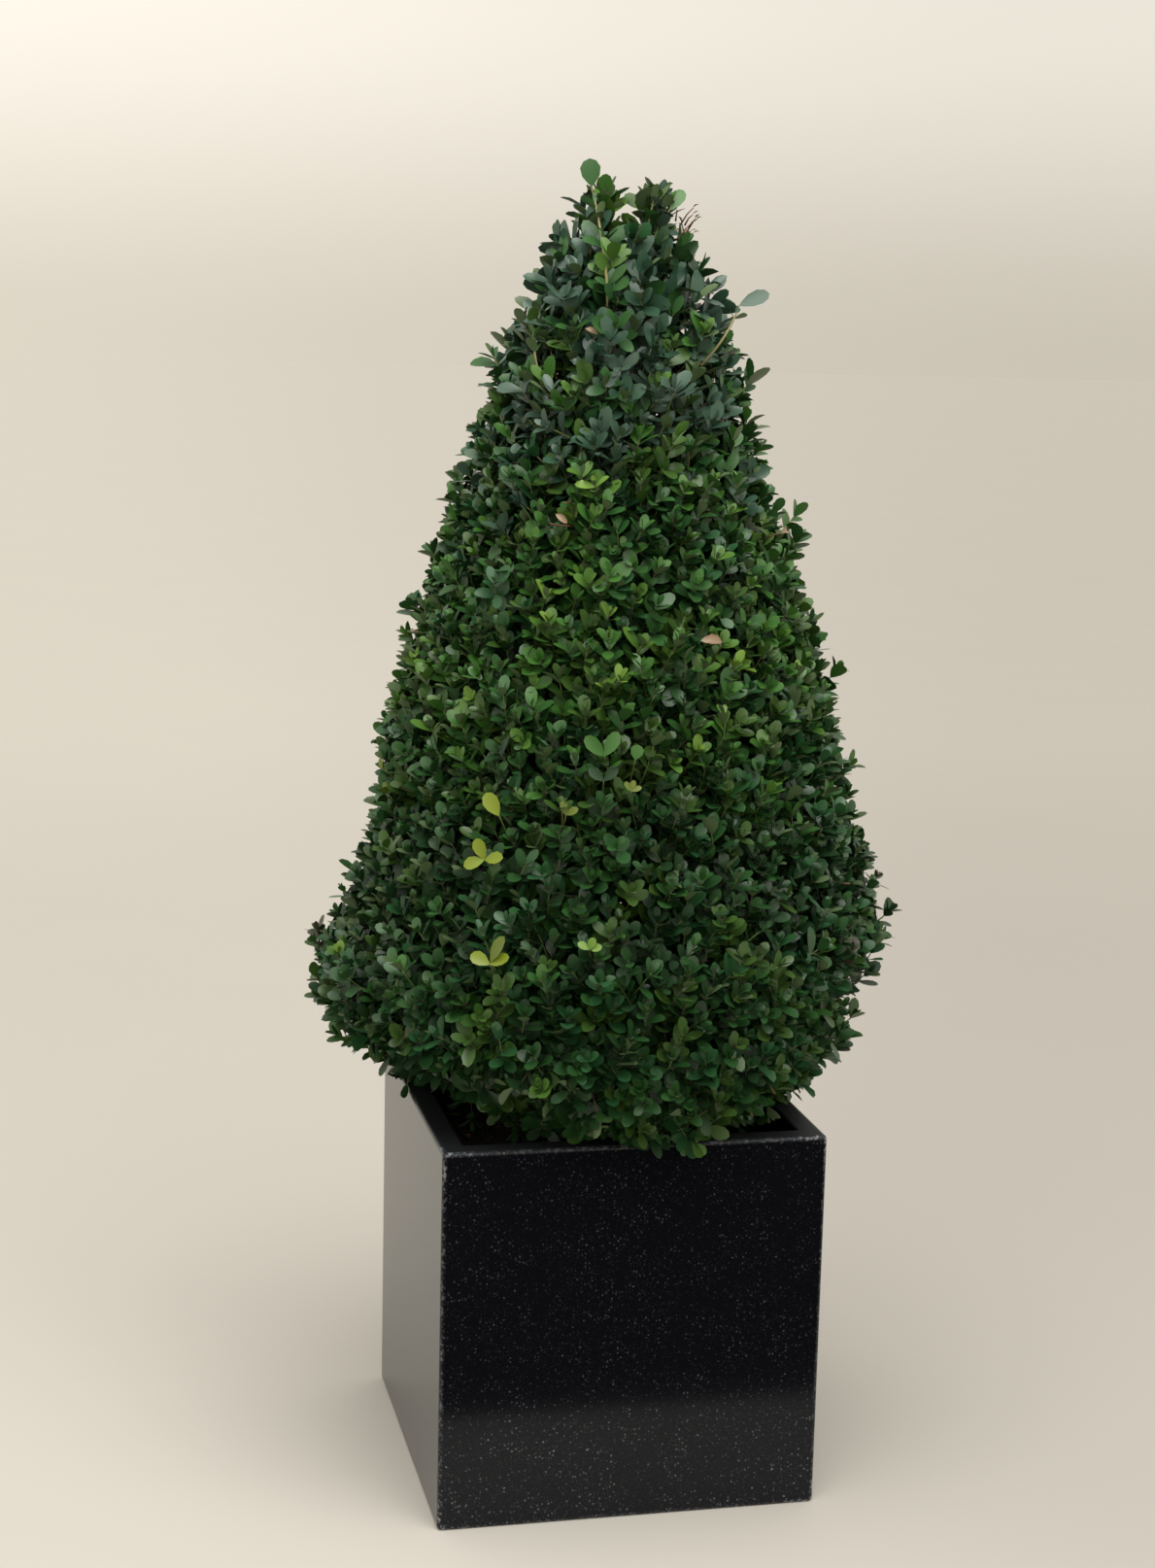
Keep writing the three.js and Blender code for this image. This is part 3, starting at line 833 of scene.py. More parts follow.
# Sprays that differ from their neighbours: yellowed, bronzed, pale or overgrown ones. How far each
# stands out of the crown, its tone, its leaves' size and how much of its end is leafy.
oddSprays = table(
    "azimuth height out tone size leafy",
    (-168, 0.74, 0.0, "olive", 0.8, 0.006),
    (-112, 0.755, 0.0, "moss", 0.9, 0.01),
    (-114, 0.484, 0.002, "bright", 1.1, 0.02),
    (-78, 1.15, 0.006, "slate", 1.5, 0.01),
    (-16, 0.58, 0.004, "mid", 1.1, 0.03),
    (-24, 0.48, 0.004, "mid", 1.1, 0.03),
    (178, 0.47, 0.004, "fresh", 1.1, 0.03),
    (-10, 1.02, 0.012, "fresh", 1.1, 0.03),
    (-16, 1.00, 0.008, "mid", 1.1, 0.03),
    (-14, 1.16, 0.008, "mid", 1.2, 0.03),
    (-13, 0.86, 0.006, "fresh", 1.1, 0.03),
    (166, 0.92, 0.006, "mid", 1.1, 0.03),
    (170, 0.57, 0.004, "bronze", 1.0, 0.03),
    (-12, 0.640, 0.004, "bronze", 1.0, 0.02),
    (-15, 0.605, 0.012, "deep", 1.0, 0.03),
    (-10, 0.455, 0.010, "deep", 1.1, 0.03),
    (-12, 0.487, 0.012, "moss", 1.2, 0.006),
    (170, 0.560, 0.003, "fresh", 0.8, 0.03),
    (173, 0.505, 0.002, "moss", 0.8, 0.03),
    (166, 0.610, 0.006, "fresh", 0.8, 0.03),
    (169, 0.455, 0.008, "bright", 0.8, 0.03),
)
# Leaves spread open like a fan at a shoot's end: how far each turns from upright, their length and
# breadth, and how much more they face up.
fans = table(
    "azimuth height tone turns leaf raised",
    (-126, 0.741, "yellow", (-34,), (0.026, 0.0160)),
    (-128, 0.699, "yellow", (-25, 80, -115), (0.022, 0.0135)),
    (-124, 0.602, "yellow", (-70, 65), (0.022, 0.0140)),
    (-124, 0.604, "olive", (27,), (0.030, 0.0140)),
    (-103, 0.803, "fresh", (-46, 28), (0.027, 0.0140), -0.5),
    (-103, 0.780, "deep", (-50, 42), (0.019, 0.0110), -0.5),
    (-96, 0.800, "fresh", (10,), (0.015, 0.0130)),
    (-97, 0.771, "olive", (-35, 15, 70), (0.011, 0.0060)),
    (-105, 0.623, "young", (-60, 20, 75), (0.013, 0.0085)),
    (-111, 0.747, "olive", (-15, 60), (0.014, 0.0080)),
    (-170, 0.760, "olive", (-40, 30), (0.015, 0.0090)),
    (120, 0.820, "yellow", (-30, 75, -120), (0.020, 0.0125)),
    (50, 0.640, "fresh", (-45, 35), (0.025, 0.0140)),
)
# Twigs without leaves, and how far each stands out.
bareTwigs = table(
    "azimuth height out",
    (-66, 0.44, 0.004), (-62, 0.46, 0.000), (-122, 1.02, 0.002), (-118, 1.04, 0.004),
    (-8, 0.45, 0.010), (-40, 0.66, 0.002), (100, 0.50, 0.010),
)
# Dead leaves that curl back, each on its own stalk.
deadLeaves = table(
    "azimuth height length",
    (-71, 0.91, 0.021), (-31, 1.01, 0.017), (-178, 0.90, 0.014), (-121, 1.03, 0.013),
    (-117, 1.21, 0.012), (60, 0.70, 0.018), (140, 0.95, 0.016),
)


def placesIn(rows, tier, start, width, out=0.0):
    # Each row that lies in this mass, with its point and the way that it faces. The point stands
    # out of the crown by the row's own amount, or by out.
    for row in rows:
        azimuth = radians(row["azimuth"])
        level = levelAt(azimuth, row["height"])
        if (azimuth - start) % (2 * pi) < width and tier["low"] <= level < tier["high"]:
            yield row, *surfacePoint(azimuth, level, -row.get("out", out))


def growMass(tier, index):
    # Branches from the bough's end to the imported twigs' tips, twigs off the branches, shoots off
    # the twigs, and leaves along the ends of all of them.
    seed = tier["seed"] + index
    mass = Growth(seed)
    rng, wood = mass.rng, mass.wood
    start, width = sector(tier, index)
    limb = smoothLine(boughControls(tier, start + width / 2), 12)
    ahead = (limb[-1] - limb[-2]).normalized()
    first = limb[-1] + ahead * touch
    end = first + ahead * stem["length"]
    wood.add([first, first.lerp(end, 0.5), end], "stem", oldTwig)
    branches = []
    for root, tip in packedTwigs(tier, index):
        leave = first.lerp(end, rng.uniform(0.25, 1.0))
        line = smoothLine([leave, leave.lerp(root, 0.5) + ahead * 0.02, root, tip], 14)
        mass.grow(line, "branch", oldTwig, toneAt(tip, rng))
        branches.extend(line[3:13])
    mass.forkFrom(branches)

    levels, area = profileLevels(tier)
    count = int(area[-1] * width / shoot["spacing"] ** 2)

    def spot(i, run):
        # The azimuth and level of the i-th of a run of even places over the mass's outline.
        turn, share = evenPoint(i, seed + run)
        return start + width * turn, float(np.interp(share * area[-1], area, levels))

    twigs = []
    for i in range(count // 5):
        point, normal = clearPoint(*spot(i, 100), rng.uniform(*behind["twigInset"]))
        lean = (normal + up * behind["twigLean"]).normalized()
        line = mass.bowTo(point, lean, behind["twigBack"], 0.5, 7)
        wood.add(line, "twig", oldTwig)
        twigs.extend(line[2:])
    mass.forkFrom(twigs + branches[::2])

    outward, upward, sideTilt, upTilt = shoot["lean"]
    for i in range(count):
        azimuth, level = spot(i, 200)
        azimuth += rng.gauss(0, 0.006) / outline(0, level)
        stray = rng.random() < shoot["stray"]
        inset = shoot["reach"] + rng.uniform(-0.3, 1.0) * shoot["uneven"]
        if stray:
            inset -= shoot["strayReach"] * rng.uniform(0.5, 1.0)
        point, normal = clearPoint(azimuth, level, inset)
        tilt = Vector((rng.gauss(0, sideTilt), rng.gauss(0, sideTilt), rng.gauss(0, upTilt)))
        lean = (normal * outward + up * upward + tilt).normalized()
        length = rng.uniform(*shoot["length"])
        high = rise(level, shoot["openFrom"], shoot["openOver"])
        if high > 0 and rng.random() < shoot["missing"] * high:
            continue
        line = mass.bowTo(point, lean, length, 0.55, 6)
        tone = toneAt(point, rng)
        tipTone = min(5, tone + 1) if tone < 5 and rng.random() < shoot["fresher"] else None
        twigTone = rng.choice(shootTwigs[level > shoot["strawFrom"]])
        size, sparse, wild = 1 + shoot["largerLeaves"] * high, 1 + shoot["wider"] * high, 1 + high
        mass.grow(line, "shoot", twigTone, tone, size, tipTone=tipTone, sparse=sparse, wild=wild)

    for odd, point, normal in placesIn(oddSprays, tier, start, width):
        line = mass.bowTo(point, (normal * 0.7 + up * 0.75).normalized(), 0.07, 0.55, 6)
        mass.grow(line, "odd", greenTwig, toneIndex[odd["tone"]], odd["size"], odd["leafy"])
    for fan, point, normal in placesIn(fans, tier, start, width, 0.002):
        side = up.cross(normal).normalized()
        above = normal.cross(side)
        fork = mass.near(point - normal * 0.05 - up * 0.05)
        line = bowLine(fork, point - normal * 0.012 - above * 0.006, point, 6)
        wood.add(line, "fan", greenTwig)
        for turned in fan["turns"]:
            turn = radians(turned)
            blade = above * cos(turn) + side * sin(turn) + normal * rng.uniform(0.15, 0.40)
            blade = blade.normalized()
            raised = rng.uniform(0.2, 0.6) + fan.get("raised", 0)
            facing = squared(normal + up * raised, blade)
            tone = toneIndex[fan["tone"]]
            mass.leaves.add(point, blade, facing, *fan["leaf"], 0.14, 0.06, tone)
    for _, point, normal in placesIn(bareTwigs, tier, start, width):
        fork = mass.near(point - normal * 0.05 + up * 0.02)
        line = bowLine(fork, point - normal * 0.02, point, 6)
        wood.add(line, "bare", russetTwig)
    for dead, point, normal in placesIn(deadLeaves, tier, start, width, -0.002):
        side = normal.cross(up).normalized()
        blade = side * rng.uniform(-1, 1) + up * rng.uniform(-0.5, 0.3) + normal * 0.3
        blade = blade.normalized()
        facing = squared(normal + up * 0.3, blade)
        length = dead["length"]
        mass.leaves.add(point, blade, facing, length, length * 0.5, 0.40, 0.5, toneIndex["tan"])
        line = [point - normal * 0.03, point - normal * 0.01, point]
        wood.add(line, "stalk", russetTwig)

    for i in range(int(count * behind["inner"])):
        azimuth, level = spot(i, 300)
        if not behind["innerLow"] < level < behind["innerTop"]:
            continue
        point, normal = clearPoint(azimuth, level, rng.uniform(*behind["innerInset"]))
        lean = (normal + up * behind["innerLean"]).normalized()
        line = mass.bowTo(point, lean, behind["innerBack"], 0.5, 5)
        # Painted light: these leaves deep within the crown take fresh and bright tones, standing in
        # for light that comes through the outer leaves.
        mass.clothe(line, anyTone(rng, "fresh", "bright"), 1.4, 0.05, sparse=1.6)
    for i in range(behind["basal"] if tier["name"] == "skirt" else 0):
        turn = start + width * (i + rng.random()) / behind["basal"]
        out = rng.uniform(*behind["basalReach"])
        point = onRing(turn, out, rng.uniform(*behind["basalHeight"]))
        if inStone(point) or inStone(point + onRing(turn, 0.012, 0)):
            continue
        line = bowLine(mass.near(point + up * 0.06), point + up * 0.03, point, 6)
        # Painted shade: the shoots under the skirt take dark tones.
        tone = anyTone(rng, "deep", "dark", "mid")
        mass.grow(line, "basal", oldTwig, tone, 1.0, 0.035, sparse=1.3)
    label = f"{tier['name']}_{index + 1}"
    mass.stand(label, "foliage", f"foliage_{label}")


for tier in tiers:
    for index in range(tier["masses"]):
        growMass(tier, index)
    print("stage:", tier["name"], "tier grown")

# Bare straw-coloured stems that stand out in front of the top, with few leaves, and for two of
# them one large leaf at the tip.
oddStems = table(
    "tuft bow radius tone size leafy tipLeaf blade",
    ("left", ((-0.018, -0.045, 1.185), (-0.030, -0.125, 1.250), (-0.028, -0.006, 1.352)),
     0.0022, "mid", 1.0, 0.04, (0.028, 0.021), (-0.12, -0.05, 1.0)),
    ("right", ((0.050, -0.050, 1.150), (0.086, -0.118, 1.190), (0.114, -0.066, 1.236)),
     0.0018, "bluish", 0.8, 0.02, (0.034, 0.016), (1.0, -0.1, 0.45)),
    ("left", ((-0.050, -0.050, 1.100), (-0.105, -0.085, 1.150), (-0.094, -0.050, 1.215)),
     0.0016, "mid", 0.9, 0.03),
)
tuftGrowth = {
    "spires": {"left": 6, "right": 7, "back": 8},  # upright shoots round each tuft's stem
    "offset": {"left": (0.014, 0.003, -0.004), "right": (0.002, 0.0, 0.009), "back": (0, 0, 0)},
    "spread": {"left": 0.009, "right": 0.015, "back": 0.030},  # of the spires' tips
    "drop": {"left": 1.3, "right": 0.30, "back": 0.9},  # of the outer tips, for each metre out
    "spireLeaf": 1.3, "spireSparse": 2.0,  # leaf size, and how far apart the leaves are
    "inner": 14,  # leafy twigs deep within
    "shell": 20,  # shorter shoots round its foot
    "shellLeaf": 1.45, "shellSparse": 1.75,
    "wild": 2.4,
    "tipDrop": 0.030,  # how far the stem's tip stays below the tuft's top
    "dryTwigs": {"right": 12},  # short russet twigs, each with a dead leaf
    "drySpans": ((0.020, 0.036), (-0.022, 0.0), (-0.042, -0.014)),  # where, from the stem's tip
}


def growTuft(tuft, index):
    # The tuft's stem goes on to its tip. Upright spires rise round it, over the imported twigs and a
    # looser shell of shoots, all with longer leaves set further apart than the clipped crown's.
    growth = tuftGrowth
    label, wild = tuft["name"], growth["wild"]
    seed = tuftShape["seed"] + index
    mass = Growth(seed)
    rng, wood = mass.rng, mass.wood
    draw = seededRandom(seed)
    azimuth = radians(tuft["azimuth"])
    halfTurn = pi / len(tufts)
    leaderLine = smoothLine(leaderControls(azimuth), 12)
    ahead = (leaderLine[-1] - leaderLine[-2]).normalized()
    base = leaderLine[-1] + ahead * touch
    tip = Vector((*tuft["tip"], tuft["top"] - growth["tipDrop"]))
    head = tip + Vector(growth["offset"][label])
    main = bowLine(base, base.lerp(head, 0.5) + onRing(azimuth, 0.006, 0), head, 10)
    tones = toneIndex["mid"], toneIndex["fresh"]
    mass.grow(main, "tuftStem", strawTwig, tones[0], 1.3, 0.07, tones[1], 1.8)
    places = main[1:9]

    for i in range(tuftShape["twigs"]):
        share = i / tuftShape["twigs"]
        root = base.lerp(tip, 0.05 + 0.6 * share)
        turn = azimuth + (2 * evenPoint(i, seed)[0] - 1) * halfTurn * 0.85
        climb = (tuft["top"] - tuftShape["floor"] - tuftShape["crest"]) * share
        height = tuftShape["floor"] + tuftShape["lowest"] + climb + twig["uneven"] * draw()
        reach = max(tuft["narrowest"], outline(turn, height) - twig["short"])
        end = onRing(turn, reach + 0.002, height + 0.008)
        line = bowLine(root, root.lerp(end, 0.5) - up * 0.004, end, 7)
        places.extend(line[2:])
        twigTone = strawTwig if rng.random() < 0.5 else greenTwig
        tone = toneAt(end, rng)
        mass.grow(line, "tuftTwig", twigTone, tone, 1.3, 0.055, sparse=1.6, wild=wild)

    spires = growth["spires"][label]
    for i in range(spires):
        turn = 2 * pi * (i + rng.random()) / spires
        out = growth["spread"][label] * sqrt((i + 0.7) / spires)
        drop = 0.003 + growth["drop"][label] * out * rng.uniform(0.5, 1.3)
        end = head + onRing(turn, out, -drop)
        root = base.lerp(tip, rng.uniform(0.0, 0.5))
        line = bowLine(root, root.lerp(end, 0.45) + onRing(turn, out * 0.5, 0), end, 8)
        places.extend(line[3:7])
        twigTone = rng.choice([strawTwig, greenTwig, greenTwig])
        tone = anyTone(rng, "bright", "fresh", "under", "under", "slate")
        size = growth["spireLeaf"] + rng.uniform(-0.25, 0.15)
        mass.grow(
            line, "spire", twigTone, tone, size, 0.06,
            sparse=growth["spireSparse"], wild=wild, outward=onRing(turn, 1, 0),
        )
    mass.forkFrom(places)

    def spot(i, run):
        # The azimuth and the share of the height of the i-th of a run of even places.
        turnShare, heightShare = evenPoint(i, seed + run)
        return azimuth + (2 * turnShare - 1) * halfTurn, heightShare

    for i in range(growth["shell"]):
        turn, share = spot(i, 50)
        height = 1.205 + (crown["top"] - 1.250) * share
        reach = outline(turn, height) - 0.019 + rng.uniform(-0.014, 0.010)
        point = onRing(turn, max(0.03, reach), height)
        tilt = Vector((rng.gauss(0, 0.3), rng.gauss(0, 0.3), 0))
        lean = (onRing(turn, 0.55, 0.85) + tilt).normalized()
        line = mass.bowTo(point, lean, 0.055, 0.5, 6)
        twigTone = strawTwig if rng.random() < 0.3 else greenTwig
        tone = toneAt(point, rng)
        size, sparse = growth["shellLeaf"] + rng.uniform(-0.3, 0.2), growth["shellSparse"]
        mass.grow(line, "basal", twigTone, tone, size, 0.050, sparse=sparse, wild=wild)
    for i in range(growth["inner"]):
        turn, share = spot(i, 90)
        height = 1.185 + 0.105 * share
        point = onRing(turn, outline(turn, height) * rng.uniform(0.40, 0.72), height)
        fork = mass.near(point - up * 0.04)
        line = bowLine(fork, fork.lerp(point, 0.5) + up * 0.006, point, 5)
        # Painted shade: the leaves deep within the tuft take dark tones.
        tone = anyTone(rng, "deep", "dark", "mid")
        mass.grow(line, "odd", oldTwig, tone, 1.35, 0.045, sparse=1.7)

    for odd in oddStems:
        if odd["tuft"] != label:
            continue
        line = bowLine(*(Vector(point) for point in odd["bow"]), 12)
        wood.add(line, (odd["radius"], 0.0011, 5), strawTwig)
        tone = toneIndex[odd["tone"]]
        mass.clothe(line[:-1], tone, odd["size"], odd["leafy"], sparse=2.6)
        if "tipLeaf" in odd:
            blade = Vector(odd["blade"]).normalized()
            facing = squared(Vector((-0.3, -1.0, 0.35)), blade)
            mass.leaves.add(line[-1], blade, facing, *odd["tipLeaf"], 0.10, 0.04, tone)
    for i in range(growth["dryTwigs"].get(label, 0)):
        foot = tip + Vector([rng.uniform(*span) for span in growth["drySpans"]])
        along = (rng.uniform(-0.008, 0.014), rng.gauss(0, 0.008), rng.uniform(0.004, 0.018))
        end = foot + Vector(along)
        line = [foot, foot.lerp(end, 0.5) + up * 0.002, end]
        wood.add(line, "dry", russetTwig)
        blade = (end - foot).normalized()
        facing = squared(up, blade)
        mass.leaves.add(end, blade, facing, 0.007, 0.0035, 0.3, 0.4, toneIndex["tan"])
    mass.stand(f"tuft_{label}", "top_foliage", f"tuft_{label}")


for index, tuft in enumerate(tufts):
    growTuft(tuft, index)
print("stage: crown grown,", Growth.leafCount, "leaves,", Growth.triangles, "triangles")

planter = {"corner": 0.005, "edge": 0.004, "innerEdge": 0.002, "arcSteps": 5, "support": 0.0012}
quarterArc = [pi / 2 * step / planter["arcSteps"] for step in range(planter["arcSteps"] + 1)]


def roundedRing(half, corner, height):
    # A square ring with round corners, with a point on each side just before a corner's arc starts.
    corner = max(corner, 0.0005)
    support = planter["support"]
    centre = Vector((half - corner, half - corner))
    spots = [Vector((half, half - corner - support))]
    spots += [centre + Vector((cos(angle), sin(angle))) * corner for angle in quarterArc]
    spots += [Vector((half - corner - support, half))]
    ring = []
    for quarter in range(4):
        across, along = cos(pi / 2 * quarter), sin(pi / 2 * quarter)
        for x, y in spots:
            ring.append(Vector((x * across - y * along, x * along + y * across, height)))
    return ring


def planterPiece(material):
    wall = planterHalf - compostHigh.x - touch
    inner, base = planterHalf - wall, compostLow.z - touch
    edge, innerEdge, support = planter["edge"], planter["innerEdge"], planter["support"]
    outer, lip = planterHalf - edge, inner + innerEdge
    profile = [(outer - support, 0)]
    profile += [(outer + edge * sin(a), edge - edge * cos(a)) for a in quarterArc]
    profile += [(planterHalf, edge + support), (planterHalf, rim - edge - support)]
    profile += [(outer + edge * cos(a), rim - edge + edge * sin(a)) for a in quarterArc]
    profile += [(outer - support, rim), (lip + support, rim)]
    profile += [
        (lip - innerEdge * sin(a), rim - innerEdge + innerEdge * cos(a)) for a in quarterArc
    ]
    profile += [(inner, rim - innerEdge - support), (inner, base)]
    points, faces = [], []
    for half, height in profile:
        points.extend(roundedRing(half, planter["corner"] - (planterHalf - half) * 0.5, height))
    size = len(points) // len(profile)
    for ring in range(len(profile) - 1):
        for step in range(size):
            a, b = ring * size + step, ring * size + (step + 1) % size
            faces.append((a, b, b + size, a + size))
    faces.append(tuple(range(size - 1, -1, -1)))
    last = (len(profile) - 1) * size
    faces.append(tuple(range(last, last + size)))
    return listPiece("planter_terrazzo", points, faces, material)


terrazzo = {
    "binder": (0.0036, 0.0038, 0.0055, 1), "coolChip": (0.68, 0.75, 0.88, 1),
    "warmChip": (0.80, 0.74, 0.72, 1),
    # spacing, share of the cells that hold a chip, and its reach within its cell
    "dust": (0.0016, 0.60, 0.44), "grit": (0.0036, 0.50, 0.38), "flecks": (0.0056, 0.22, 0.23),
    "dustLight": 0.055, "gritLight": 0.11, "fleckLight": 0.34, "wearAndHighlightLight": 0.20,
    "roughness": 0.14, "wornRoughness": 0.30, "ledgeRoughness": 0.25, "ledgeLight": 0.018,
}


def terrazzoFinish():
    # Black binder with crushed chips of three sizes, polished, and pale along its outer edges,
    # partly from wear and partly a painted highlight.
    stone, look = Finish("terrazzo"), terrazzo
    place = stone.place()
    sockets = {"Vector": place, "Scale": 520.0, "Detail": 2.0}
    waver = stone.node("ShaderNodeTexNoise", {}, sockets, 1)
    bent = stone.vectors("ADD", place, stone.stretch(waver, (0.0024, 0.0024, 0.0024)))
    crowd = stone.ease(stone.cloud(place, 42.0, 2.0), 0.32, 0.70)

    def chips(spacing, share, reach):
        # How bright a chip lies here: none in most cells, and each cell's own size and brightness.
        sockets = {"Vector": bent, "Scale": 1 / spacing}
        cell, lots = (stone.node("ShaderNodeTexVoronoi", {}, sockets, output) for output in (0, 1))
        chosen, bright, size = stone.axes(lots)
        inside = stone.ease(cell, reach, reach * 0.30)
        present = stone.ease(chosen, 1 - share, 1 - share * 0.4)
        return inside * present * (0.12 + 0.88 * bright * bright * bright) * (0.6 + 0.4 * size)

    x, y, z = stone.axes(place)
    fromX, fromY, fromZ = planterHalf - abs(x), planterHalf - abs(y), (rim - z).least(z)
    nearEdge = fromX.least(fromY).most(fromX.most(fromY).least(fromZ))
    edgeBand = 1 - stone.ease(nearEdge, 0.0016, 0.0054)
    corner = 1 - stone.ease(fromX.most(fromY).most(fromZ), 0.006, 0.045)
    crumbly = stone.ease(stone.cloud(place, 240.0, 4.0), 0.48, 0.64)
    frontEdges = 0.35 + 0.65 * stone.ease(y, -0.10, -0.19)  # the front edges most: wear, and a painted highlight
    # Pale edges: partly wear, partly a painted highlight along the front and the corners.
    wearAndHighlight = edgeBand * (0.03 + 0.97 * crumbly) * (0.50 + 1.15 * corner) * frontEdges
    specks = chips(*look["dust"]) * look["dustLight"] + chips(*look["grit"]) * look["gritLight"]
    specks = specks + chips(*look["flecks"]) * look["fleckLight"]
    lowDustAndReflection = stone.ease(z, 0.160, 0.080)  # the lowest part's chips are brighter: partly dust, partly a painted reflection of the floor
    specks = specks * (0.30 + 0.9 * crowd) * (1.0 + 1.7 * lowDustAndReflection)
    ledge = stone.ease(z, rim - 0.0030, rim - 0.0008)  # dust lies on the rim's flat top too
    light = (specks + wearAndHighlight * look["wearAndHighlightLight"] + ledge * look["ledgeLight"]).least(0.6)
    warm = stone.ease(stone.cloud(place, 180.0, 0.0), 0.45, 0.65)
    chip = stone.mix(warm, look["coolChip"], look["warmChip"])
    dulled = wearAndHighlight * look["wornRoughness"] + ledge * look["ledgeRoughness"]
    return stone.dress({
        "Base Color": stone.mix(light, look["binder"], chip),
        "Roughness": look["roughness"] + dulled,
        "IOR": 1.345,
        "Specular Tint": (0.88, 0.95, 1.0, 1),
    })


standFor(planterPiece(terrazzoFinish()), "terrazzo", "planter")
print("stage: planter cast")

compost = {
    "squares": 120, "depth": 0.05, "swell": 0.007, "flatRadius": 0.045, "waves": (0.037, 0.043),
    "chips": 420, "litter": 46,
}


def compostHeight(x, y):
    # The part's gentle swell, with crumbs on it.
    away = min(1, 4 * max(0, hypot(x, y) - compost["flatRadius"]) / (2 * compostHigh.x))
    waveX, waveY = compost["waves"]
    swellHere = compost["swell"] * away * sin(x / waveX) * cos(y / waveY + 0.6)
    crumbs = noise.noise(Vector((x * 150, y * 150, 0))) * 0.0016
    crumbs += noise.noise(Vector((x * 420, y * 420, 3))) * 0.0010
    return trunkFoot - touch + swellHere + crumbs - 0.0012


def compostPiece(material):
    squares = compost["squares"]
    half = compostHigh.x - 0.0005
    spots = [half * (2 * step / squares - 1) for step in range(squares + 1)]
    points = [(x, y, compostHeight(x, y)) for y in spots for x in spots]
    size = squares + 1
    corners = [row * size + column for row in range(squares) for column in range(squares)]
    faces = [(a, a + 1, a + size + 1, a + size) for a in corners]
    border = list(range(size))
    border += [row * size + squares for row in range(1, size)]
    border += [squares * size + column for column in range(squares - 1, -1, -1)]
    border += [row * size for row in range(squares - 1, 0, -1)]
    bottom, low = len(points), trunkFoot - compost["depth"]
    points.extend((points[i][0], points[i][1], low) for i in border)
    for step, i in enumerate(border):
        following = (step + 1) % len(border)
        faces.append((border[following], i, bottom + step, bottom + following))
    faces.append(tuple(range(bottom + len(border) - 1, bottom - 1, -1)))
    return listPiece("compost_soil", points, faces, material)


def compostFinish():
    soil = Finish("compost")
    place = soil.place()
    crumbs = soil.cloud(place, 240.0, 6.0, 0.68)
    fibres = soil.ease(soil.cloud(soil.stretch(place, (1.0, 0.22, 1.0)), 420.0, 2.0), 0.58, 0.70)
    dark = soil.mix(crumbs, (0.010, 0.007, 0.005, 1), (0.050, 0.034, 0.023, 1))
    colour = soil.mix(fibres * 0.7, dark, (0.13, 0.085, 0.050, 1))
    normal = soil.bump(crumbs, 0.0012)
    return soil.dress({"Base Color": colour, "Roughness": 0.95, "Normal": normal})


def anyPlace(rng, clear):
    # A place on the compost, clear of the wall.
    x, y = (rng.uniform(-1, 1) * (compostHigh.x - clear) for _ in range(2))
    return Vector((x, y, 0)), compostHeight(x, y)


def compostChips(materials):
    # Bits of bark and fibre that lie on the compost: bent six-sided lumps.
    rng = random.Random(41)
    corners = [(1, 0, 0), (-1, 0, 0), (0, 1, 0), (0, -1, 0), (0, 0, 1), (0, 0, -1)]
    sides = np.array([
        (0, 2, 4), (2, 1, 4), (1, 3, 4), (3, 0, 4), (2, 0, 5), (1, 2, 5), (3, 1, 5), (0, 3, 5),
    ])
    points, faces, tones = [], [], []
    for number in range(compost["chips"]):
        centre, height = anyPlace(rng, 0.008)
        length = rng.uniform(0.0025, 0.0075)
        size = Vector((length, length * rng.uniform(0.3, 0.7), length * rng.uniform(0.15, 0.3)))
        turned = Matrix.Rotation(rng.uniform(0, pi), 3, "Z")
        turned = turned @ Matrix.Rotation(rng.gauss(0, 0.3), 3, "Y")
        centre.z = height + size.z * 0.5
        for corner in corners:
            lump = [way * reach * rng.uniform(0.75, 1.15) for way, reach in zip(corner, size)]
            points.append(centre + turned @ Vector(lump))
        faces.append(sides + number * len(corners))
        tones.extend([rng.randrange(len(materials))] * len(sides))
    points, faces = np.array(points), np.concatenate(faces)
    return arrayPiece("compost_chips", points, faces, materials, tones=tones, smooth=False)


def fallenLeaves():
    rng = random.Random(77)
    leaves = Leaves()
    for _ in range(compost["litter"]):
        root, height = anyPlace(rng, 0.018)
        turn = rng.uniform(0, 2 * pi)
        blade = Vector((cos(turn), sin(turn), rng.gauss(0, 0.08))).normalized()
        facing = squared(up + Vector((rng.gauss(0, 0.25), rng.gauss(0, 0.25), 0)), blade)
        root.z = height + 0.0022
        length, width = rng.uniform(0.013, 0.021), rng.uniform(0.007, 0.011)
        cup, curl = rng.uniform(0.05, 0.3), rng.uniform(-0.15, 0.1)
        tone = anyTone(rng, "tan", "tan", "bronze", "yellow", "dark", "bronze")
        leaves.add(root, blade, facing, length, width, cup, curl, tone)
    return leaves.piece("fallen_leaves")


standFor(compostPiece(compostFinish()), "compost", "compost")
chipMaterials = [
    plainFinish("chip_dark", (0.022, 0.015, 0.010), 0.9),
    plainFinish("chip_brown", (0.060, 0.036, 0.020), 0.9),
    plainFinish("chip_pale", (0.150, 0.105, 0.065), 0.9),
]
standFor(compostChips(chipMaterials), "compost", "compost")
standFor(fallenLeaves(), "compost", "compost")
print("stage: compost laid")

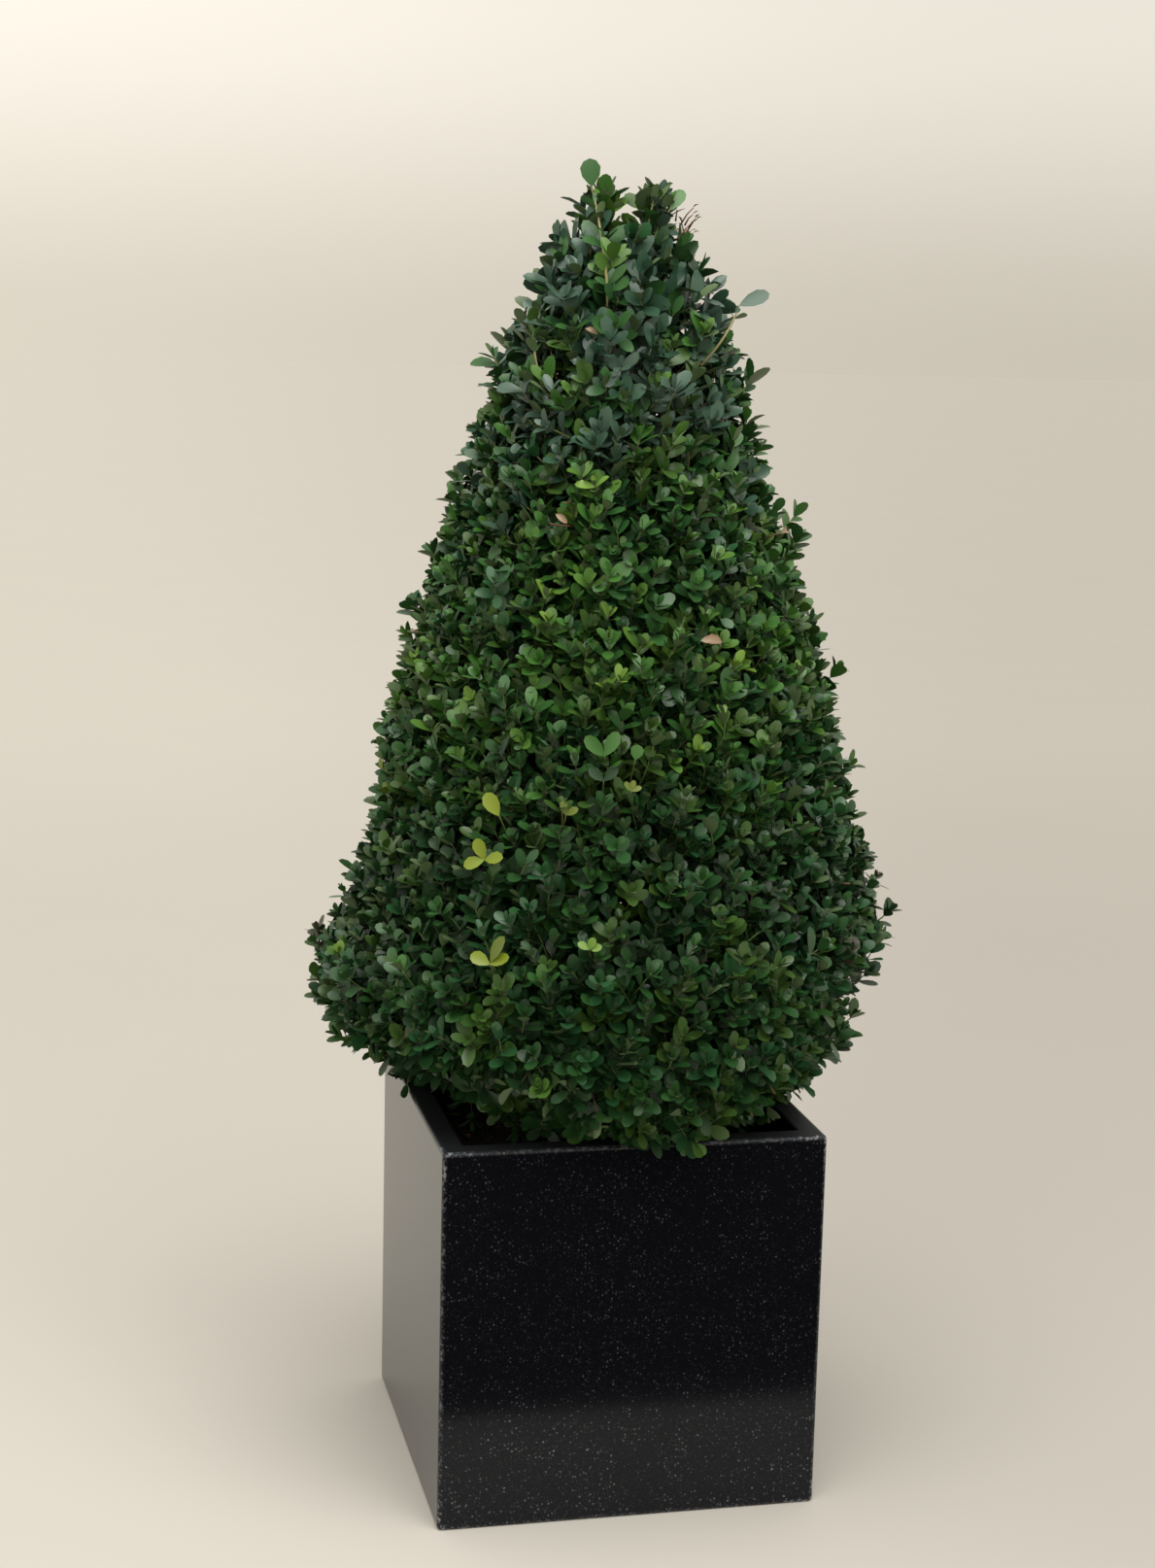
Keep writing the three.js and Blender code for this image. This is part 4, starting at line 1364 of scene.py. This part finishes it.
studio = {
    "floor": (0.76, 0.72, 0.65), "nearPaintedShade": 0.82, "floorReach": 150.0,
    "mirrorFrom": -0.470,  # the floor in front of this isn't mirrored by the planter
    "horizon": (0.922, 0.852, 0.716), "eyeLevel": (1.28, 1.20, 1.06), "zenith": (1.05, 1.03, 0.98),
    "leftShade": 1.0, "rightShade": 0.82,  # the room is dimmer towards the right: in the sky as light, on the floor as painted shade
    "below": (0.006, 0.007, 0.007), "worldStrength": 0.80,
    "key": {"energy": 0.45, "angle": radians(42), "color": (1.0, 0.975, 0.93)},
    "overhead": {"shape": "DISK", "size": 1.7, "energy": 31, "color": (1.0, 0.99, 0.97)},
}
view = {
    "place": (-0.6131, -2.5778, 1.1895), "aim": (-0.0268, 0.0, 0.7351), "roll": 1.36,
    "lens": 58.14, "sensor": 36.0,
}


def floorPiece(name, near, far, mirrored, material):
    reach = studio["floorReach"]
    corners = [(-reach, near, 0), (reach, near, 0), (reach, far, 0), (-reach, far, 0)]
    piece = arrayPiece(name, np.array(corners, float), np.array([(0, 1, 2, 3)]), [material])
    piece.visible_glossy = mirrored


def dimmed(finish, sideways, colour):
    # The colour, dimmed by how far to the right its direction lies: the sky's light, and painted
    # shade on the floor.
    turned = finish.ease(sideways, -0.05, 0.42)
    left, right = ([studio[shade]] * 3 for shade in ("leftShade", "rightShade"))
    return finish.mix(turned, finish.stretch(colour, left), finish.stretch(colour, right))


def floorFinish():
    floor = Finish("floor")
    place = floor.place()
    away = floor.vectors("LENGTH", place, output=1)
    cloudy = floor.cloud(place, 1.6, 3.0)

    def clouded(shade):
        tones = ((*(part * k * shade for part in studio["floor"]), 1) for k in (0.985, 1.015))
        return floor.mix(cloudy, *tones)

    # Painted shade: the floor is darker near the plant and towards the right.
    colour = floor.mix(floor.ease(away, 0.6, 6.0), clouded(studio["nearPaintedShade"]), clouded(1.0))
    x = floor.axes(place)[0]
    return floor.dress({"Base Color": dimmed(floor, x / (away + 0.8), colour), "Roughness": 0.9})


def worldSky():
    sky = Finish("studio", bpy.data.worlds.new("studio"))
    x, _, height = sky.axes(sky.place("Generated"))
    low = sky.mix(sky.ease(height, 0.0, 0.13), (*studio["horizon"], 1), (*studio["eyeLevel"], 1))
    air = sky.mix(sky.ease(height, 0.2, 1.0), low, (*studio["zenith"], 1))
    colour = sky.mix(sky.ease(height, -0.02, -0.20), air, (*studio["below"], 1))
    sky.dress({"Color": dimmed(sky, x, colour), "Strength": studio["worldStrength"]})
    scene.world = sky.owner


def aimed(place, aim):
    # The turn that points a lamp or a camera at its aim.
    return (Vector(aim) - Vector(place)).to_track_quat("-Z", "Y")


def lamp(name, kind, place, aim, settings):
    light = bpy.data.lights.new(name, kind)
    for key, value in settings.items():
        setattr(light, key, value)
    holder = placed(name, light)
    holder.location = place
    holder.rotation_euler = aimed(place, aim).to_euler()


def camera():
    eye = bpy.data.cameras.new("camera")
    eye.lens = view["lens"]
    eye.sensor_width = view["sensor"]
    turned = aimed(view["place"], view["aim"]).to_matrix()
    turned = turned @ Matrix.Rotation(radians(view["roll"]), 3, "Z")
    holder = placed("camera", eye)
    holder.matrix_world = Matrix.Translation(view["place"]) @ turned.to_4x4()
    scene.camera = holder


floorMaterial = floorFinish()
floorPiece("floor_near", studio["mirrorFrom"], studio["floorReach"], True, floorMaterial)
floorPiece("floor_front", -studio["floorReach"], studio["mirrorFrom"], False, floorMaterial)
worldSky()
lamp("key", "SUN", (1.5, -1.9, 2.3), (0, 0, 0), studio["key"])
lamp("overhead", "AREA", (-0.15, -0.85, 2.30), (0, 0, 1.15), studio["overhead"])
camera()
scene.view_settings.view_transform = "Standard"
print("stage: studio set")
